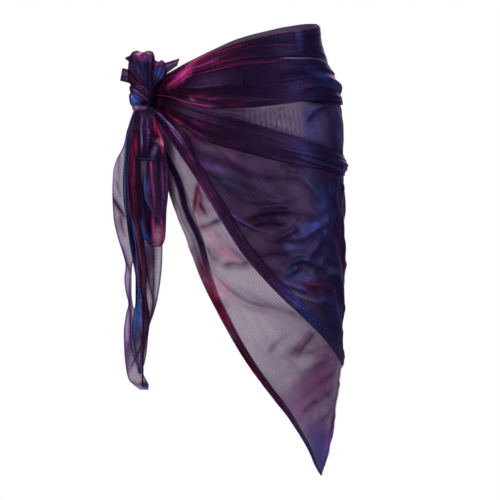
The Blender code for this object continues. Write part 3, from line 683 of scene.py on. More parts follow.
def facing_sheen_tint(normals):
    """The cloth's reflected colour, painted as a sheen by the way each point faces: plum to the knot's
    side, violet ahead, blue to the other side.
    """
    plum, violet, blue = (np.array(colour) for colour in FACING_SHEEN_COLOURS)
    toward = smooth_step((normals[..., :1] + 0.9) / 1.8)
    return plum * (1 - toward) ** 2 + 2 * violet * toward * (1 - toward) + blue * toward**2


ONE_LAYER = 0.33  # share of light that goes straight through one flat layer
LAYER_FILTER = (0.94, 0.81, 0.98)  # colour that one layer gives to that light
LEAST_LAYERS = 0.15
MOST_LAYERS = 5.0
FOLD_DEPTH = 3.0  # layers that a fold adds as it leans away from the smooth surface
STEEPEST_FOLD = 0.35  # cosine of the lean beyond which a fold adds no more


def add_cloth(name, node, look, points, finish, base=None, layers=1.0):
    """One stretch of cloth through a grid of points in millimetres, standing for its CAD node."""
    rows, columns = points.shape[:2]
    index = np.arange(rows * columns).reshape(rows, columns)
    quads = np.stack([index[:-1, :-1], index[:-1, 1:], index[1:, 1:], index[1:, :-1]], -1).reshape(-1, 4)
    mesh = bpy.data.meshes.new(name)
    mesh.from_pydata((points.reshape(-1, 3) * MM).tolist(), [], quads.tolist())
    mesh.shade_smooth()
    piece = bpy.data.objects.new(name, mesh)
    bpy.context.scene.collection.objects.link(piece)

    normals = surface_normals(points)
    slant = np.zeros((rows, columns))
    if base is not None:
        lean = np.abs(np.sum(normals * surface_normals(base), -1))
        slant = 1 / np.maximum(lean, STEEPEST_FOLD) - 1
    thickness = np.clip(layers * (1 + FOLD_DEPTH * slant) + finish.laps, LEAST_LAYERS, MOST_LAYERS)
    # Painted shade darkens the reflected tint where creases and pleats lap; the painted highlights and
    # shade of the finish go over the sheen painted by facing.
    shaded = np.exp(-0.5 * np.clip(finish.shade, 0, 2))[..., None]
    tint = (facing_sheen_tint(normals) + finish.tint) / (1 + 0.3 * finish.painted_light[..., None]) * shaded
    filtered = np.array(LAYER_FILTER) ** thickness[..., None]

    opacity = mesh.attributes.new("opacity", "FLOAT", "POINT")
    opacity.data.foreach_set("value", (1 - ONE_LAYER**thickness).ravel().astype(np.float32))
    for kind, colour in (("tint", np.clip(tint, 0, 1)), ("filter", filtered)):
        store = mesh.attributes.new(kind, "FLOAT_COLOR", "POINT")
        colour = np.concatenate([colour, np.ones((rows, columns, 1))], -1)
        store.data.foreach_set("color", colour.ravel().astype(np.float32))

    lengths = np.linalg.norm(np.diff(points, axis=1), axis=-1)
    heights = np.linalg.norm(np.diff(points, axis=0), axis=-1)
    across = np.concatenate([np.zeros((rows, 1)), np.cumsum(lengths, 1)], 1) * MM
    down = np.concatenate([np.zeros((1, columns)), np.cumsum(heights, 0)], 0) * MM
    threads = np.stack([across, down], -1).reshape(-1, 2)
    layer = mesh.uv_layers.new(name="threads")
    layer.data.foreach_set("uv", threads[quads.ravel()].ravel())

    mesh.materials.append(cloths[look])
    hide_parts(node)
    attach(piece, "root")


def new_node(tree, kind, **inputs):
    made = tree.nodes.new(kind)
    for name, value in inputs.items():
        made.inputs[name.replace("_", " ")].default_value = value
    return made


def math_node(tree, operation, first, second):
    made = tree.nodes.new("ShaderNodeMath")
    made.operation = operation
    for socket, value in zip(made.inputs, (first, second)):
        if isinstance(value, (int, float)):
            socket.default_value = value
        else:
            tree.links.new(value, socket)
    return made.outputs[0]


def painted_node(tree, name):
    """What add_cloth painted on the mesh under this name."""
    made = tree.nodes.new("ShaderNodeAttribute")
    made.attribute_name = name
    return made.outputs


def threads_node(tree, turn, scale_along, scale_across):
    """Coordinates along and across the cloth's threads, turned and scaled."""
    places = tree.nodes.new("ShaderNodeUVMap")
    places.uv_map = "threads"
    mapping = tree.nodes.new("ShaderNodeMapping")
    mapping.inputs["Rotation"].default_value = (0, 0, math.radians(turn))
    mapping.inputs["Scale"].default_value = (scale_along, scale_across, 1)
    tree.links.new(places.outputs["UV"], mapping.inputs["Vector"])
    return mapping.outputs["Vector"]


THREAD = 0.0009  # metres from one thread of the weave to the next
NET_BEAT = 0.0052  # metres from one beat to the next where the net shows through itself
WAVE_TURN = 20  # the wave texture's phase for one unit of length


def wave_node(tree, turn, length, distortion=0.0):
    """Parallel lines a length in metres apart, turned by degrees from the threads."""
    scale = 2 * math.pi / (WAVE_TURN * length)
    made = new_node(tree, "ShaderNodeTexWave", Scale=1.0, Distortion=distortion, Detail=1.0)
    made.inputs["Detail Scale"].default_value = 0.02
    tree.links.new(threads_node(tree, turn, scale, scale), made.inputs["Vector"])
    return made.outputs["Fac"]


def noise_node(tree, turn, scale_along, scale_across, detail=3.0):
    made = new_node(tree, "ShaderNodeTexNoise", Scale=1.0, Detail=detail, Roughness=0.55)
    tree.links.new(threads_node(tree, turn, scale_along, scale_across), made.inputs["Vector"])
    return made.outputs["Fac"]


def organza(name, weave, slub, net, sheen):
    """Two-colour organza: light goes through it tinted, and it reflects in the painted tint, which holds
    painted highlights, painted shade and the sheen painted by facing.
    """
    made = bpy.data.materials.new("cloth_" + name)
    made.use_nodes = True
    tree = made.node_tree
    tree.nodes.clear()
    link = tree.links.new
    plus, minus, times = (partial(math_node, tree, kind) for kind in ("ADD", "SUBTRACT", "MULTIPLY"))

    watered = wave_node(tree, 3, THREAD / 0.76)
    woven = plus(
        times(wave_node(tree, 0, THREAD), watered),
        times(wave_node(tree, 90, THREAD), watered),
    )
    slubs = plus(noise_node(tree, 0, 30, 480), noise_node(tree, 0, 480, 30))
    cloudy = noise_node(tree, 24, 22, 40, 4.0)
    crossed = times(wave_node(tree, 7, NET_BEAT, 0.8), wave_node(tree, 98, NET_BEAT / 0.9, 0.8))
    netted = times(minus(crossed, 0.25), times(minus(cloudy, 0.30), net))

    uneven = times(minus(woven, 0.5), weave)
    slubby = times(minus(slubs, 1.0), slub)
    clouds = times(minus(cloudy, 0.5), 0.36)
    change = plus(plus(uneven, slubby), plus(clouds, netted))
    light_through = minus(1.0, painted_node(tree, "opacity")["Fac"])
    cover = minus(1.0, times(light_through, minus(1.0, change)))

    mottled = tree.nodes.new("ShaderNodeHueSaturation")
    # The painted tint: painted sheen, highlights and shade from add_cloth.
    link(painted_node(tree, "tint")["Color"], mottled.inputs["Color"])
    link(minus(plus(times(slubs, 1.6), cloudy), 1.05), mottled.inputs["Value"])
    bump = new_node(tree, "ShaderNodeBump", Strength=0.25, Distance=0.0004)
    link(slubs, bump.inputs["Height"])

    shader = new_node(
        tree,
        "ShaderNodeBsdfPrincipled",
        Metallic=0.55,
        Roughness=0.38,
        Specular_IOR_Level=0.12,
        Specular_Tint=(0.60, 0.35, 0.85, 1),
        Sheen_Weight=sheen,
        Sheen_Roughness=0.35,
        Sheen_Tint=(0.30, 0.22, 0.60, 1),
    )
    link(mottled.outputs["Color"], shader.inputs["Base Color"])
    link(bump.outputs["Normal"], shader.inputs["Normal"])
    clear = tree.nodes.new("ShaderNodeBsdfTransparent")
    link(painted_node(tree, "filter")["Color"], clear.inputs["Color"])
    mixed = tree.nodes.new("ShaderNodeMixShader")
    link(cover, mixed.inputs["Fac"])
    link(clear.outputs["BSDF"], mixed.inputs[1])
    link(shader.outputs["BSDF"], mixed.inputs[2])
    output = tree.nodes.new("ShaderNodeOutputMaterial")
    link(mixed.outputs["Shader"], output.inputs["Surface"])
    return made


# How strongly the weave, the slubs and the net show in each finish of the cloth, and its sheen.
CLOTH_COLUMNS = ("name", "weave", "slub", "net", "sheen")
CLOTHS = (
    ("sheer", 0.34, 0.24, 2.4, 0.06),
    ("gathered", 0.10, 0.20, 0.3, 0.03),
    ("hem", 0.08, 0.14, 0.5, 0.02),
    ("knot", 0.08, 0.18, 0.3, 0.05),
    ("tail", 0.20, 0.14, 1.2, 0.07),
)
cloths = {row[0]: organza(**dict(zip(CLOTH_COLUMNS, row))) for row in CLOTHS}


def front_layers(angle, z):
    """The front cloth lies in more layers low down, toward the far side and where the knot gathers it."""
    right = smooth_step((angle - 34) / 44)
    low = smooth_step((-100 - z) / 60)
    knot_side = smooth_step((-14 - angle) / 30) * smooth_step((-90 - z) / 40)
    knot_end = 1.1 * smooth_step((12 - angle) / 26)
    window = smooth_step((z + 130) / 20) * (knot_end + 0.4 * smooth_step((angle - 30) / 14) - 0.15)
    gathered = 2.0 * smooth_step((-38 - angle) / 14)
    return 1.0 + 0.65 * low + 0.9 * right * low + 0.7 * right + 0.3 * knot_side + window + gathered


def back_layers(angle, z):
    """One layer behind, deeper toward the point, the side, the waist and the knot."""
    point = smooth_step((-400 - z) / 240)
    side = smooth_step((150 - angle) / 50)
    top = smooth_step((z - edge["top"](angle) + 26) / 16) * smooth_step((angle - 100) / 20)
    beside = smooth_step((150 - angle) / 55) * smooth_step((z + 520) / 70)
    beside *= 0.37 + 0.63 * smooth_step((-100 - z) / 60)
    lying = 1.0 + 0.75 * point * (0.5 + 0.5 * side) + 0.25 * side + 1.3 * top + 1.9 * beside
    gathered = 2.4 * smooth_step((angle - 223) / 9) * smooth_step((upper_hem_edge(angle) + 50 - z) / 40)
    gathered += 1.2 * smooth_step((angle - 236) / 36)
    hem_span = smooth_step((angle - POINT_ANGLE) / 6) * smooth_step((246 - angle) / 14)
    under_hem = smooth_step((upper_hem_edge(angle) - z) / 8)
    return lying * (1 - 0.9 * under_hem * hem_span) + gathered


def make_panel(name, node, angles, row_count, layers, patches):
    """A stretch of the sheer cloth, from its hem up to the waist."""
    angle, share = grid(angles, steps(0.0, 1.0, row_count))
    low = hem(angle)
    z = low + (edge["top"](angle) - low) * share
    finish = Finish(angle.shape)
    points = on_hips(angle, z, panel_out(angle, z, finish))
    base = on_hips(angle, z, knot_lift(angle))
    patched(angle * UNROLL, z, patches, finish, UNROLL)
    add_cloth(name, node, "sheer", points, finish, base, layers(angle, z))


def pleated(angle, share, rows, finish):
    """How far a band's pleats lift it: each runs along the band and laps over the cloth below it; finish
    takes the painted shade under each and the painted highlight along it.
    """
    lift = np.zeros_like(angle)
    for row in rows:
        pleat = dict(zip(PLEAT_COLUMNS, row))
        first, last = pleat["from_angle"], pleat["to_angle"]
        run = (angle - first) / (last - first)
        t = np.clip(run, 0, 1)
        line = (
            pleat["start"] * (1 - t) * (1 - 2 * t)
            + pleat["middle"] * 4 * t * (1 - t)
            + pleat["end"] * t * (2 * t - 1)
        )
        line = line + 0.012 * np.sin(angle * 0.21 + 9 * pleat["middle"])
        ends = smooth_step((run + 0.02) * 6) * smooth_step((1.02 - run) * 5)
        if first <= KNOT_ANGLE:
            ends = smooth_step((1 - t) * 5)
        elif last >= END_ANGLE:
            ends = smooth_step(t * 5)
        aside = (share - line) / pleat["width"]
        lift += pleat["height"] * ends * np.where(aside > 0, bell(aside / 1.3), bell(aside / 0.55))
        # Painted shade along the pleat's lower side, as deep as its laps column; it adds no layers.
        finish.shade += pleat["laps"] * ends * bell((aside + 0.75) / 0.5)
        # A painted highlight in the pleat's tint just above its ridge.
        finish.paint(ends * bell((aside - 0.15) / 0.5), pleat["tint"], pleat["painted_light"])
    return lift


# How many layers deep each kind of piece lies.
BAND_LAYERS = 1.7
TURN_LAYERS = 2.2
BOW_LAYERS = 1.6
CORNER_LAYERS = 3.2


def make_band(name, node, angles, row_count, low, high, layer, swell, waves, pleats, drop=0.0):
    """A gathered stretch between two edge lines, with its pleats and its turned-under lower edge."""
    turned_under = np.linspace(-0.10, -0.02, 5) if drop == 0.0 else np.linspace(-0.05, -0.02, 2)
    angle, share = grid(angles, np.concatenate([turned_under, steps(0.0, 1.0, row_count)]))
    under = share < 0
    bottom, top = edge[low](angle), edge[high](angle) - drop * smooth_step((angle - 80) / 30)
    clipped = np.clip(share, 0, 1)
    finish = Finish(angle.shape)
    arch = np.sin(math.pi * clipped) ** 0.8
    wave = 0.6 + 0.4 * np.cos(2 * math.pi * waves * (clipped - 0.5))
    narrow = np.clip((top - bottom) / 30, 0.25, 1.0)
    lift = pleated(angle, clipped, pleats, finish) * narrow
    out = knot_lift(angle) + layer * LAYER + puff[swell](angle) * arch * wave + WALL / 2
    z = bottom + (top - bottom) * np.where(under, -share * 1.2, share)
    patched(angle * UNROLL, z, BAND_PATCHES, finish, UNROLL)
    rolled = bell(share / 0.05) * 0.8
    out = out + np.where(under, -0.9, lift + rolled)
    finish.laps += np.where(under, -0.2, 0.0)
    points = on_hips(angle, z, out)
    base = on_hips(angle, z, knot_lift(angle) + layer * LAYER)
    thinned = 0.8 * smooth_step((angle - SEAM_ANGLE) / 28) if low == "hip_low" else 0.0
    layers = BAND_LAYERS * (1 - thinned)
    add_cloth(name, node, "gathered", points, finish, base, layers)


HEM_GAP = 1.2  # from the panels to the hems
HEM_ROLL = 1.5


def make_hem(name, node, angles, widths, row_count, patches=(), layers=1.0):
    """The folded edge of the cloth: a soft flattened roll along it, square to the edge."""
    width_at, beyond = (curve_through(widths, WIDTH_COLUMNS, c) for c in WIDTH_COLUMNS[1:])
    angle, even_share = grid(angles, steps(0.0, 1.0, row_count))
    width = width_at(angle)
    share = even_share - beyond(angle) / width * (1 - even_share)
    sideways, upward = across_hem(angle, angles[0], angles[-1])
    shifted = angle + sideways * width * share
    z = hem(angle) + upward * width * share
    finish = Finish(angle.shape)
    folds = np.zeros_like(angle)
    for row in HEM_FOLDS[name]:
        fold = dict(zip(HEM_FOLD_COLUMNS, row))
        line = fold["share"] + 0.06 * np.sin(angle * 0.17 + 8 * fold["share"]) + 0.03 * np.sin(angle * 0.53)
        aside = (share - line) / fold["width"]
        folds += fold["height"] * bell(aside)
        finish.laps += 0.4 * bell((aside + 0.8) / 0.5)
    # Painted highlights and painted shade in stripes along the hem, with the layers they add.
    for row in HEM_TONES[name]:
        tone = dict(zip(TONE_COLUMNS, row))
        ends = smooth_step((angle - tone["from_angle"]) / 8) * smooth_step((tone["to_angle"] - angle) / 8)
        line = tone["share"] + 0.04 * np.sin(angle * 0.23 + 5 * tone["share"])
        weight = ends * np.exp(-(((share - line) / tone["width"]) ** 4))
        weight *= 0.85 + 0.15 * np.sin(angle * 0.9 + 20 * share)
        finish.paint(weight, tone["tint"], tone["painted_light"])
        finish.laps += weight * tone["laps"]
    patched(shifted * UNROLL, z, patches, finish, UNROLL)
    roll = HEM_ROLL * np.sin(math.pi * even_share) ** 0.6
    points = on_hips(shifted, z, panel_out(shifted, z) + HEM_GAP + roll + folds)
    add_cloth(name, node, "hem", points, finish, None, layers)


def make_hips():
    """The panels, the bands over them, and the hems along their lower edge."""
    panel_front = steps(KNOT_ANGLE, SEAM_ANGLE, 200)
    back = steps(SEAM_ANGLE, END_ANGLE, 240)
    make_panel("front_cloth", "front_panel", panel_front, 230, front_layers, FRONT_PATCHES)
    make_panel("back_cloth", "back_panel", back, 260, back_layers, BACK_PATCHES)

    front = steps(KNOT_ANGLE, SEAM_ANGLE, 220)
    past_seam = steps(KNOT_ANGLE, POINT_ANGLE, 250)
    # Each band's lower and upper edge, its place among the layers, how it puffs out, and in how many waves.
    waist = ("crease", "top", 1, "waist", 1)
    fold = ("fold_low", "crease", 2, "fold", 2)
    hip = ("hip_low", "hip_top", 1, "hip", 1)
    make_band("waist_gathers_front", "waist_band_front", front, 46, *waist, WAIST_FRONT_PLEATS, 1)
    make_band("waist_gathers_back", "waist_band_back", back, 46, *waist, WAIST_BACK_PLEATS, 9)
    make_band("fold_gathers_front", "fold_band_front", front, 64, *fold, FOLD_FRONT_PLEATS)
    make_band("fold_gathers_back", "fold_band_back", back, 56, *fold, FOLD_BACK_PLEATS)
    make_band("hip_gathers", "hip_band", past_seam, 50, *hip, HIP_PLEATS)

    front_edge = steps(KNOT_ANGLE + 1, SEAM_ANGLE, 260)
    side_edge = steps(SEAM_ANGLE + 1, POINT_ANGLE - 3, 80)
    back_edge = steps(POINT_ANGLE + 0.5, END_ANGLE - 1, 260)
    make_hem("front_hem_fold", "front_hem", front_edge, FRONT_HEM_WIDTHS, 24, HEM_PATCHES, 0.9)
    make_hem("side_hem_fold", "side_hem", side_edge, SIDE_HEM_WIDTHS, 12, (), 0.3)
    make_hem("back_hem_fold", "back_hem", back_edge, BACK_HEM_WIDTHS, 30, (), 1.15)


make_hips()

# The knot: rounded turns of cloth, with their middle, half sizes and tilt (degrees about Y), and the
# creases over them, placed by x and z.
TURNS = {
    "knot_middle": {
        "node": "knot_core",
        "middle": (-173, -52, -38),
        "half": (17, 11, 28),
        "tilt": 12,
        "creases": (
            (((-176, -14), (-172, -34), (-170, -54)), 1.5, 3, 1.0, "violet", 0.4),
            (((-182, -16), (-179, -36), (-176, -54)), 1.5, 3, 1.0, "plum", 0.5),
        ),
    },
    "knot_turn": {
        "node": "knot_wrap",
        "middle": (-179, -60, -34),
        "half": (24, 15, 15),
        "tilt": 38,
        "creases": (
            (((-203, -10), (-184, -19), (-158, -41)), 2.2, 3.0, 1.2, "mauve", 0.9),
            (((-203, -16), (-184, -27), (-157, -49)), 2.6, 3.0, 1.2, "plum", 0.9),
            (((-204, -22), (-184, -35), (-160, -55)), 2.6, 2.8, 1.2, "rose", 0.18),
            (((-204, -30), (-186, -42), (-164, -58)), 2.4, 2.8, 1.2, "violet", 0.5),
            (((-202, -38), (-188, -49), (-170, -59)), 2.2, 2.8, 1.2, "blue", 0.6),
            (((-196, -4), (-178, -13), (-158, -33)), 1.8, 3.0, 1.0, "blue", 0.4),
        ),
    },
    "knot_lobe": {
        "node": "knot_wrap",
        "middle": (-188, -57, -45),
        "half": (13.5, 13, 17),
        "tilt": -14,
        "creases": (
            (((-200, -32), (-196, -44), (-188, -58)), 1.6, 4, 0.8, "sky", 0.5),
            (((-192, -30), (-188, -44), (-180, -58)), 1.6, 4, 1.0, "blue", 1.0),
            (((-184, -34), (-180, -46), (-172, -58)), 1.4, 3.5, 1.0, "navy", 0.6),
        ),
    },
    "knot_neck": {
        "node": "knot_collar",
        "middle": (-180, -67, -61),
        "half": (16, 14, 8),
        "tilt": 8,
        "creases": (
            (((-200, -54), (-182, -58), (-162, -57)), 1.2, 1.8, 0.7, "violet", 0.9),
            (((-200, -58), (-182, -62), (-162, -61)), 1.4, 2.2, 0.7, "lilac", 0.8),
            (((-200, -62), (-182, -66), (-162, -65)), 1.2, 1.8, 0.9, "rose", 0.35),
        ),
    },
}
# Patches of painted highlight and painted shade on the knot and the bow loops, placed by x and z.
KNOT_PATCHES = (
    (-192, -44, 13, 8, 60, "blue", 0.9, 0.0),
    (-189, -52, 10, 6, 20, "sky", 0.3, 0.0),
    (-194, -62, 7, 3, -10, "lilac", 0.6, 0.0),
    (-186, -70, 8, 3, -60, "rose", 0.4, 0.0),
    (-166, -42, 9, 6, 0, "black", 0.5, 1.0),
    (-178, 10, 18, 4, -72, "navy", 1.6, 0.0),
    (-187, 6, 16, 3, -60, "blue", 0.4, 0.0),
    (-182, 35, 6, 2.5, 20, "rose", 0.7, 0.0),
    (-167, 34, 5, 2.5, -20, "rose", 0.6, 0.0),
    (-178, 27, 16, 7, -10, "mauve", 0.9, 0.0),
    (-149, 0, 9, 11, 20, "blue", 0.5, 0.0),
    (-146, -6, 6, 6, 20, "sky", 0.25, 0.0),
    (-148, 18, 9, 4, 10, "magenta", 0.3, 0.0),
)


def dressed(x, z, creases, patches):
    """The finish that creases and patches give a piece placed by x and z, and how far they lift it."""
    finish = Finish(x.shape)
    lift = creased(x, z, creases, finish)
    patched(x, z, patches, finish)
    return finish, lift


def make_turn(name, node, middle, half, tilt, creases):
    """A rounded turn of cloth in the knot, with its folds running over it."""
    around, rise = grid(np.linspace(math.pi / 2, 2.5 * math.pi, 141), np.linspace(-0.97, 0.97, 91))
    slim = (1 - np.abs(rise) ** 2.4) ** 0.5
    shape = np.stack([slim * np.cos(around), slim * np.sin(around), rise], -1)
    lean = np.array(Matrix.Rotation(math.radians(tilt), 3, "Y"))
    outward = unit((shape / np.array(half)) @ lean.T)
    points = (shape * np.array(half)) @ lean.T + np.array(middle)
    finish, lift = dressed(points[..., 0], points[..., 2], creases, KNOT_PATCHES)
    lift = lift + 0.5 * np.sin(5 * around + 4 * rise) * slim
    points = points + outward * (lift - 1.0)[..., None]
    add_cloth(name, node, "knot", points, finish, None, TURN_LAYERS)


# The bow loops: each row has the left and right edges at one height.
BOW_COLUMNS = ("z", "left", "right")
BOWS = {
    "top_loop": {
        "node": "bow_loop_top",
        "rows": (
            (38, -189, -163), (36, -195, -159), (27, -200, -156), (16, -202, -155), (2, -203, -156),
            (-13, -202, -158), (-26, -193, -160), (-38, -178, -161),
        ),
        "middle_y": -62,
        "depth": 15,
        "creases": (
            (((-168, -34), (-188, -16), (-206, 2)), 3.0, 3.2, 3.2, "mauve", 0.6),
            (((-167, -32), (-186, -6), (-204, 18)), 3.4, 3.2, 3.2, "lilac", 0.16),
            (((-166, -30), (-181, 2), (-196, 36)), 3.8, 3.4, 3.6, "mauve", 0.7),
            (((-165, -30), (-175, 2), (-183, 42)), 3.4, 3.0, 3.4, "blue", 0.3),
            (((-164, -30), (-169, 2), (-172, 42)), 3.2, 2.8, 3.4, "navy", 1.2),
            (((-163, -30), (-163, 2), (-161, 38)), 2.6, 2.6, 3.0, "mauve", 0.6),
        ),
    },
    "side_loop": {
        "node": "bow_loop_side",
        "rows": (
            (22, -157, -142), (19, -161, -139), (13, -164, -136), (2, -166, -135), (-6, -167, -138),
            (-14, -168, -146), (-22, -168, -154), (-30, -168, -158),
        ),
        "middle_y": -56,
        "depth": 14,
        "creases": (
            (((-166, -34), (-160, 2), (-157, 24)), 2.4, 2.8, 3.0, "plum", 0.9),
            (((-165, -34), (-154, 2), (-149, 26)), 2.6, 2.8, 3.0, "magenta", 0.14),
            (((-164, -32), (-147, 0), (-142, 22)), 2.6, 2.8, 3.0, "blue", 0.3),
            (((-163, -30), (-143, -6), (-136, 12)), 2.0, 2.6, 2.6, "violet", 0.36),
        ),
    },
}


def both_ways(turn, sharpness):
    """Front (-1) or back (1) of a loop, turning smoothly through nought at its far end."""
    return np.sign(turn) * np.minimum(1.0, np.abs(turn) * sharpness) ** 0.6


def make_bow(name, node, rows, middle_y, depth, creases):
    """A loop that stands up from the knot: a fan of pleats that folds over at the top."""
    left, right = (curve_through(rows, BOW_COLUMNS, c) for c in BOW_COLUMNS[1:])
    top, bottom = rows[0][0], rows[-1][0]
    share, turn = grid(np.linspace(0, 1, 101), np.linspace(-1, 1, 121))
    z = bottom + (top - bottom) * np.cos(math.pi / 2 * np.abs(turn)) ** 0.7
    x = left(z) + (right(z) - left(z)) * share
    finish, lift = dressed(x, z, creases, KNOT_PATCHES)
    full = np.sin(math.pi * np.clip(share, 0.02, 0.98)) ** 0.5
    risen = (z - bottom) / (top - bottom)
    plump = depth * (0.25 + 0.75 * smooth_step(risen * 1.6))
    y = middle_y + both_ways(turn, 2.6) * (plump / 2 * full + (lift - 1.2) * 0.9)
    z = z + 1.3 * np.sin(share * 8 + 1) * smooth_step(risen * 3 - 2)
    points = np.stack([x, y, z], -1)
    add_cloth(name, node, "knot", points, finish, None, BOW_LAYERS)


# The small corners beside the bow loops: each one's near lower, near upper, far upper and far lower point.
CORNERS = {
    "upper_left_tip": (
        "corner_upper_left",
        ((-184, -53, 6), (-184, -53, 36), (-197, -51, 33), (-209, -49, 27)),
    ),
    "lower_left_tip": (
        "corner_lower_left",
        ((-182, -54, -22), (-184, -54, 4), (-213, -46, 10), (-217, -44, -12)),
    ),
    "right_tip": (
        "corner_right",
        ((-156, -50, -14), (-154, -50, 14), (-113, -62, 26), (-117, -64, 13)),
    ),
}


def make_corner(name, node, corners):
    """A small corner of the cloth, cupped, with two soft folds."""
    near_low, near_high, far_high, far_low = (np.array(point, float) for point in corners)
    run, rise = grid(np.linspace(0, 1, 51), np.linspace(0, 1, 41))
    near = near_low + (near_high - near_low) * rise[..., None]
    far = far_low + (far_high - far_low) * rise[..., None]
    cup = 2.0 * np.sin(math.pi * rise) + 1.1 * np.sin(3 * math.pi * rise + 1) * np.sin(math.pi * run)
    points = near + (far - near) * run[..., None] - cup[..., None] * np.array([0, 1, 0])
    finish = Finish(rise.shape)
    rim = np.maximum(run, np.abs(2 * rise - 1))
    finish.laps += 0.7 * smooth_step((rim - 0.86) / 0.10)
    # Two folds across the corner: extra layers, and a painted highlight in plum and lilac just above each.
    for middle, tint, painted_light in ((0.30, "plum", 0.6), (0.62, "lilac", 0.22)):
        aside = rise - middle + 0.2 * run
        finish.laps += 0.9 * bell(aside / 0.08)
        finish.paint(bell((aside - 0.12) / 0.12), tint, painted_light)
    add_cloth(name, node, "tail", points, finish, None, CORNER_LAYERS)


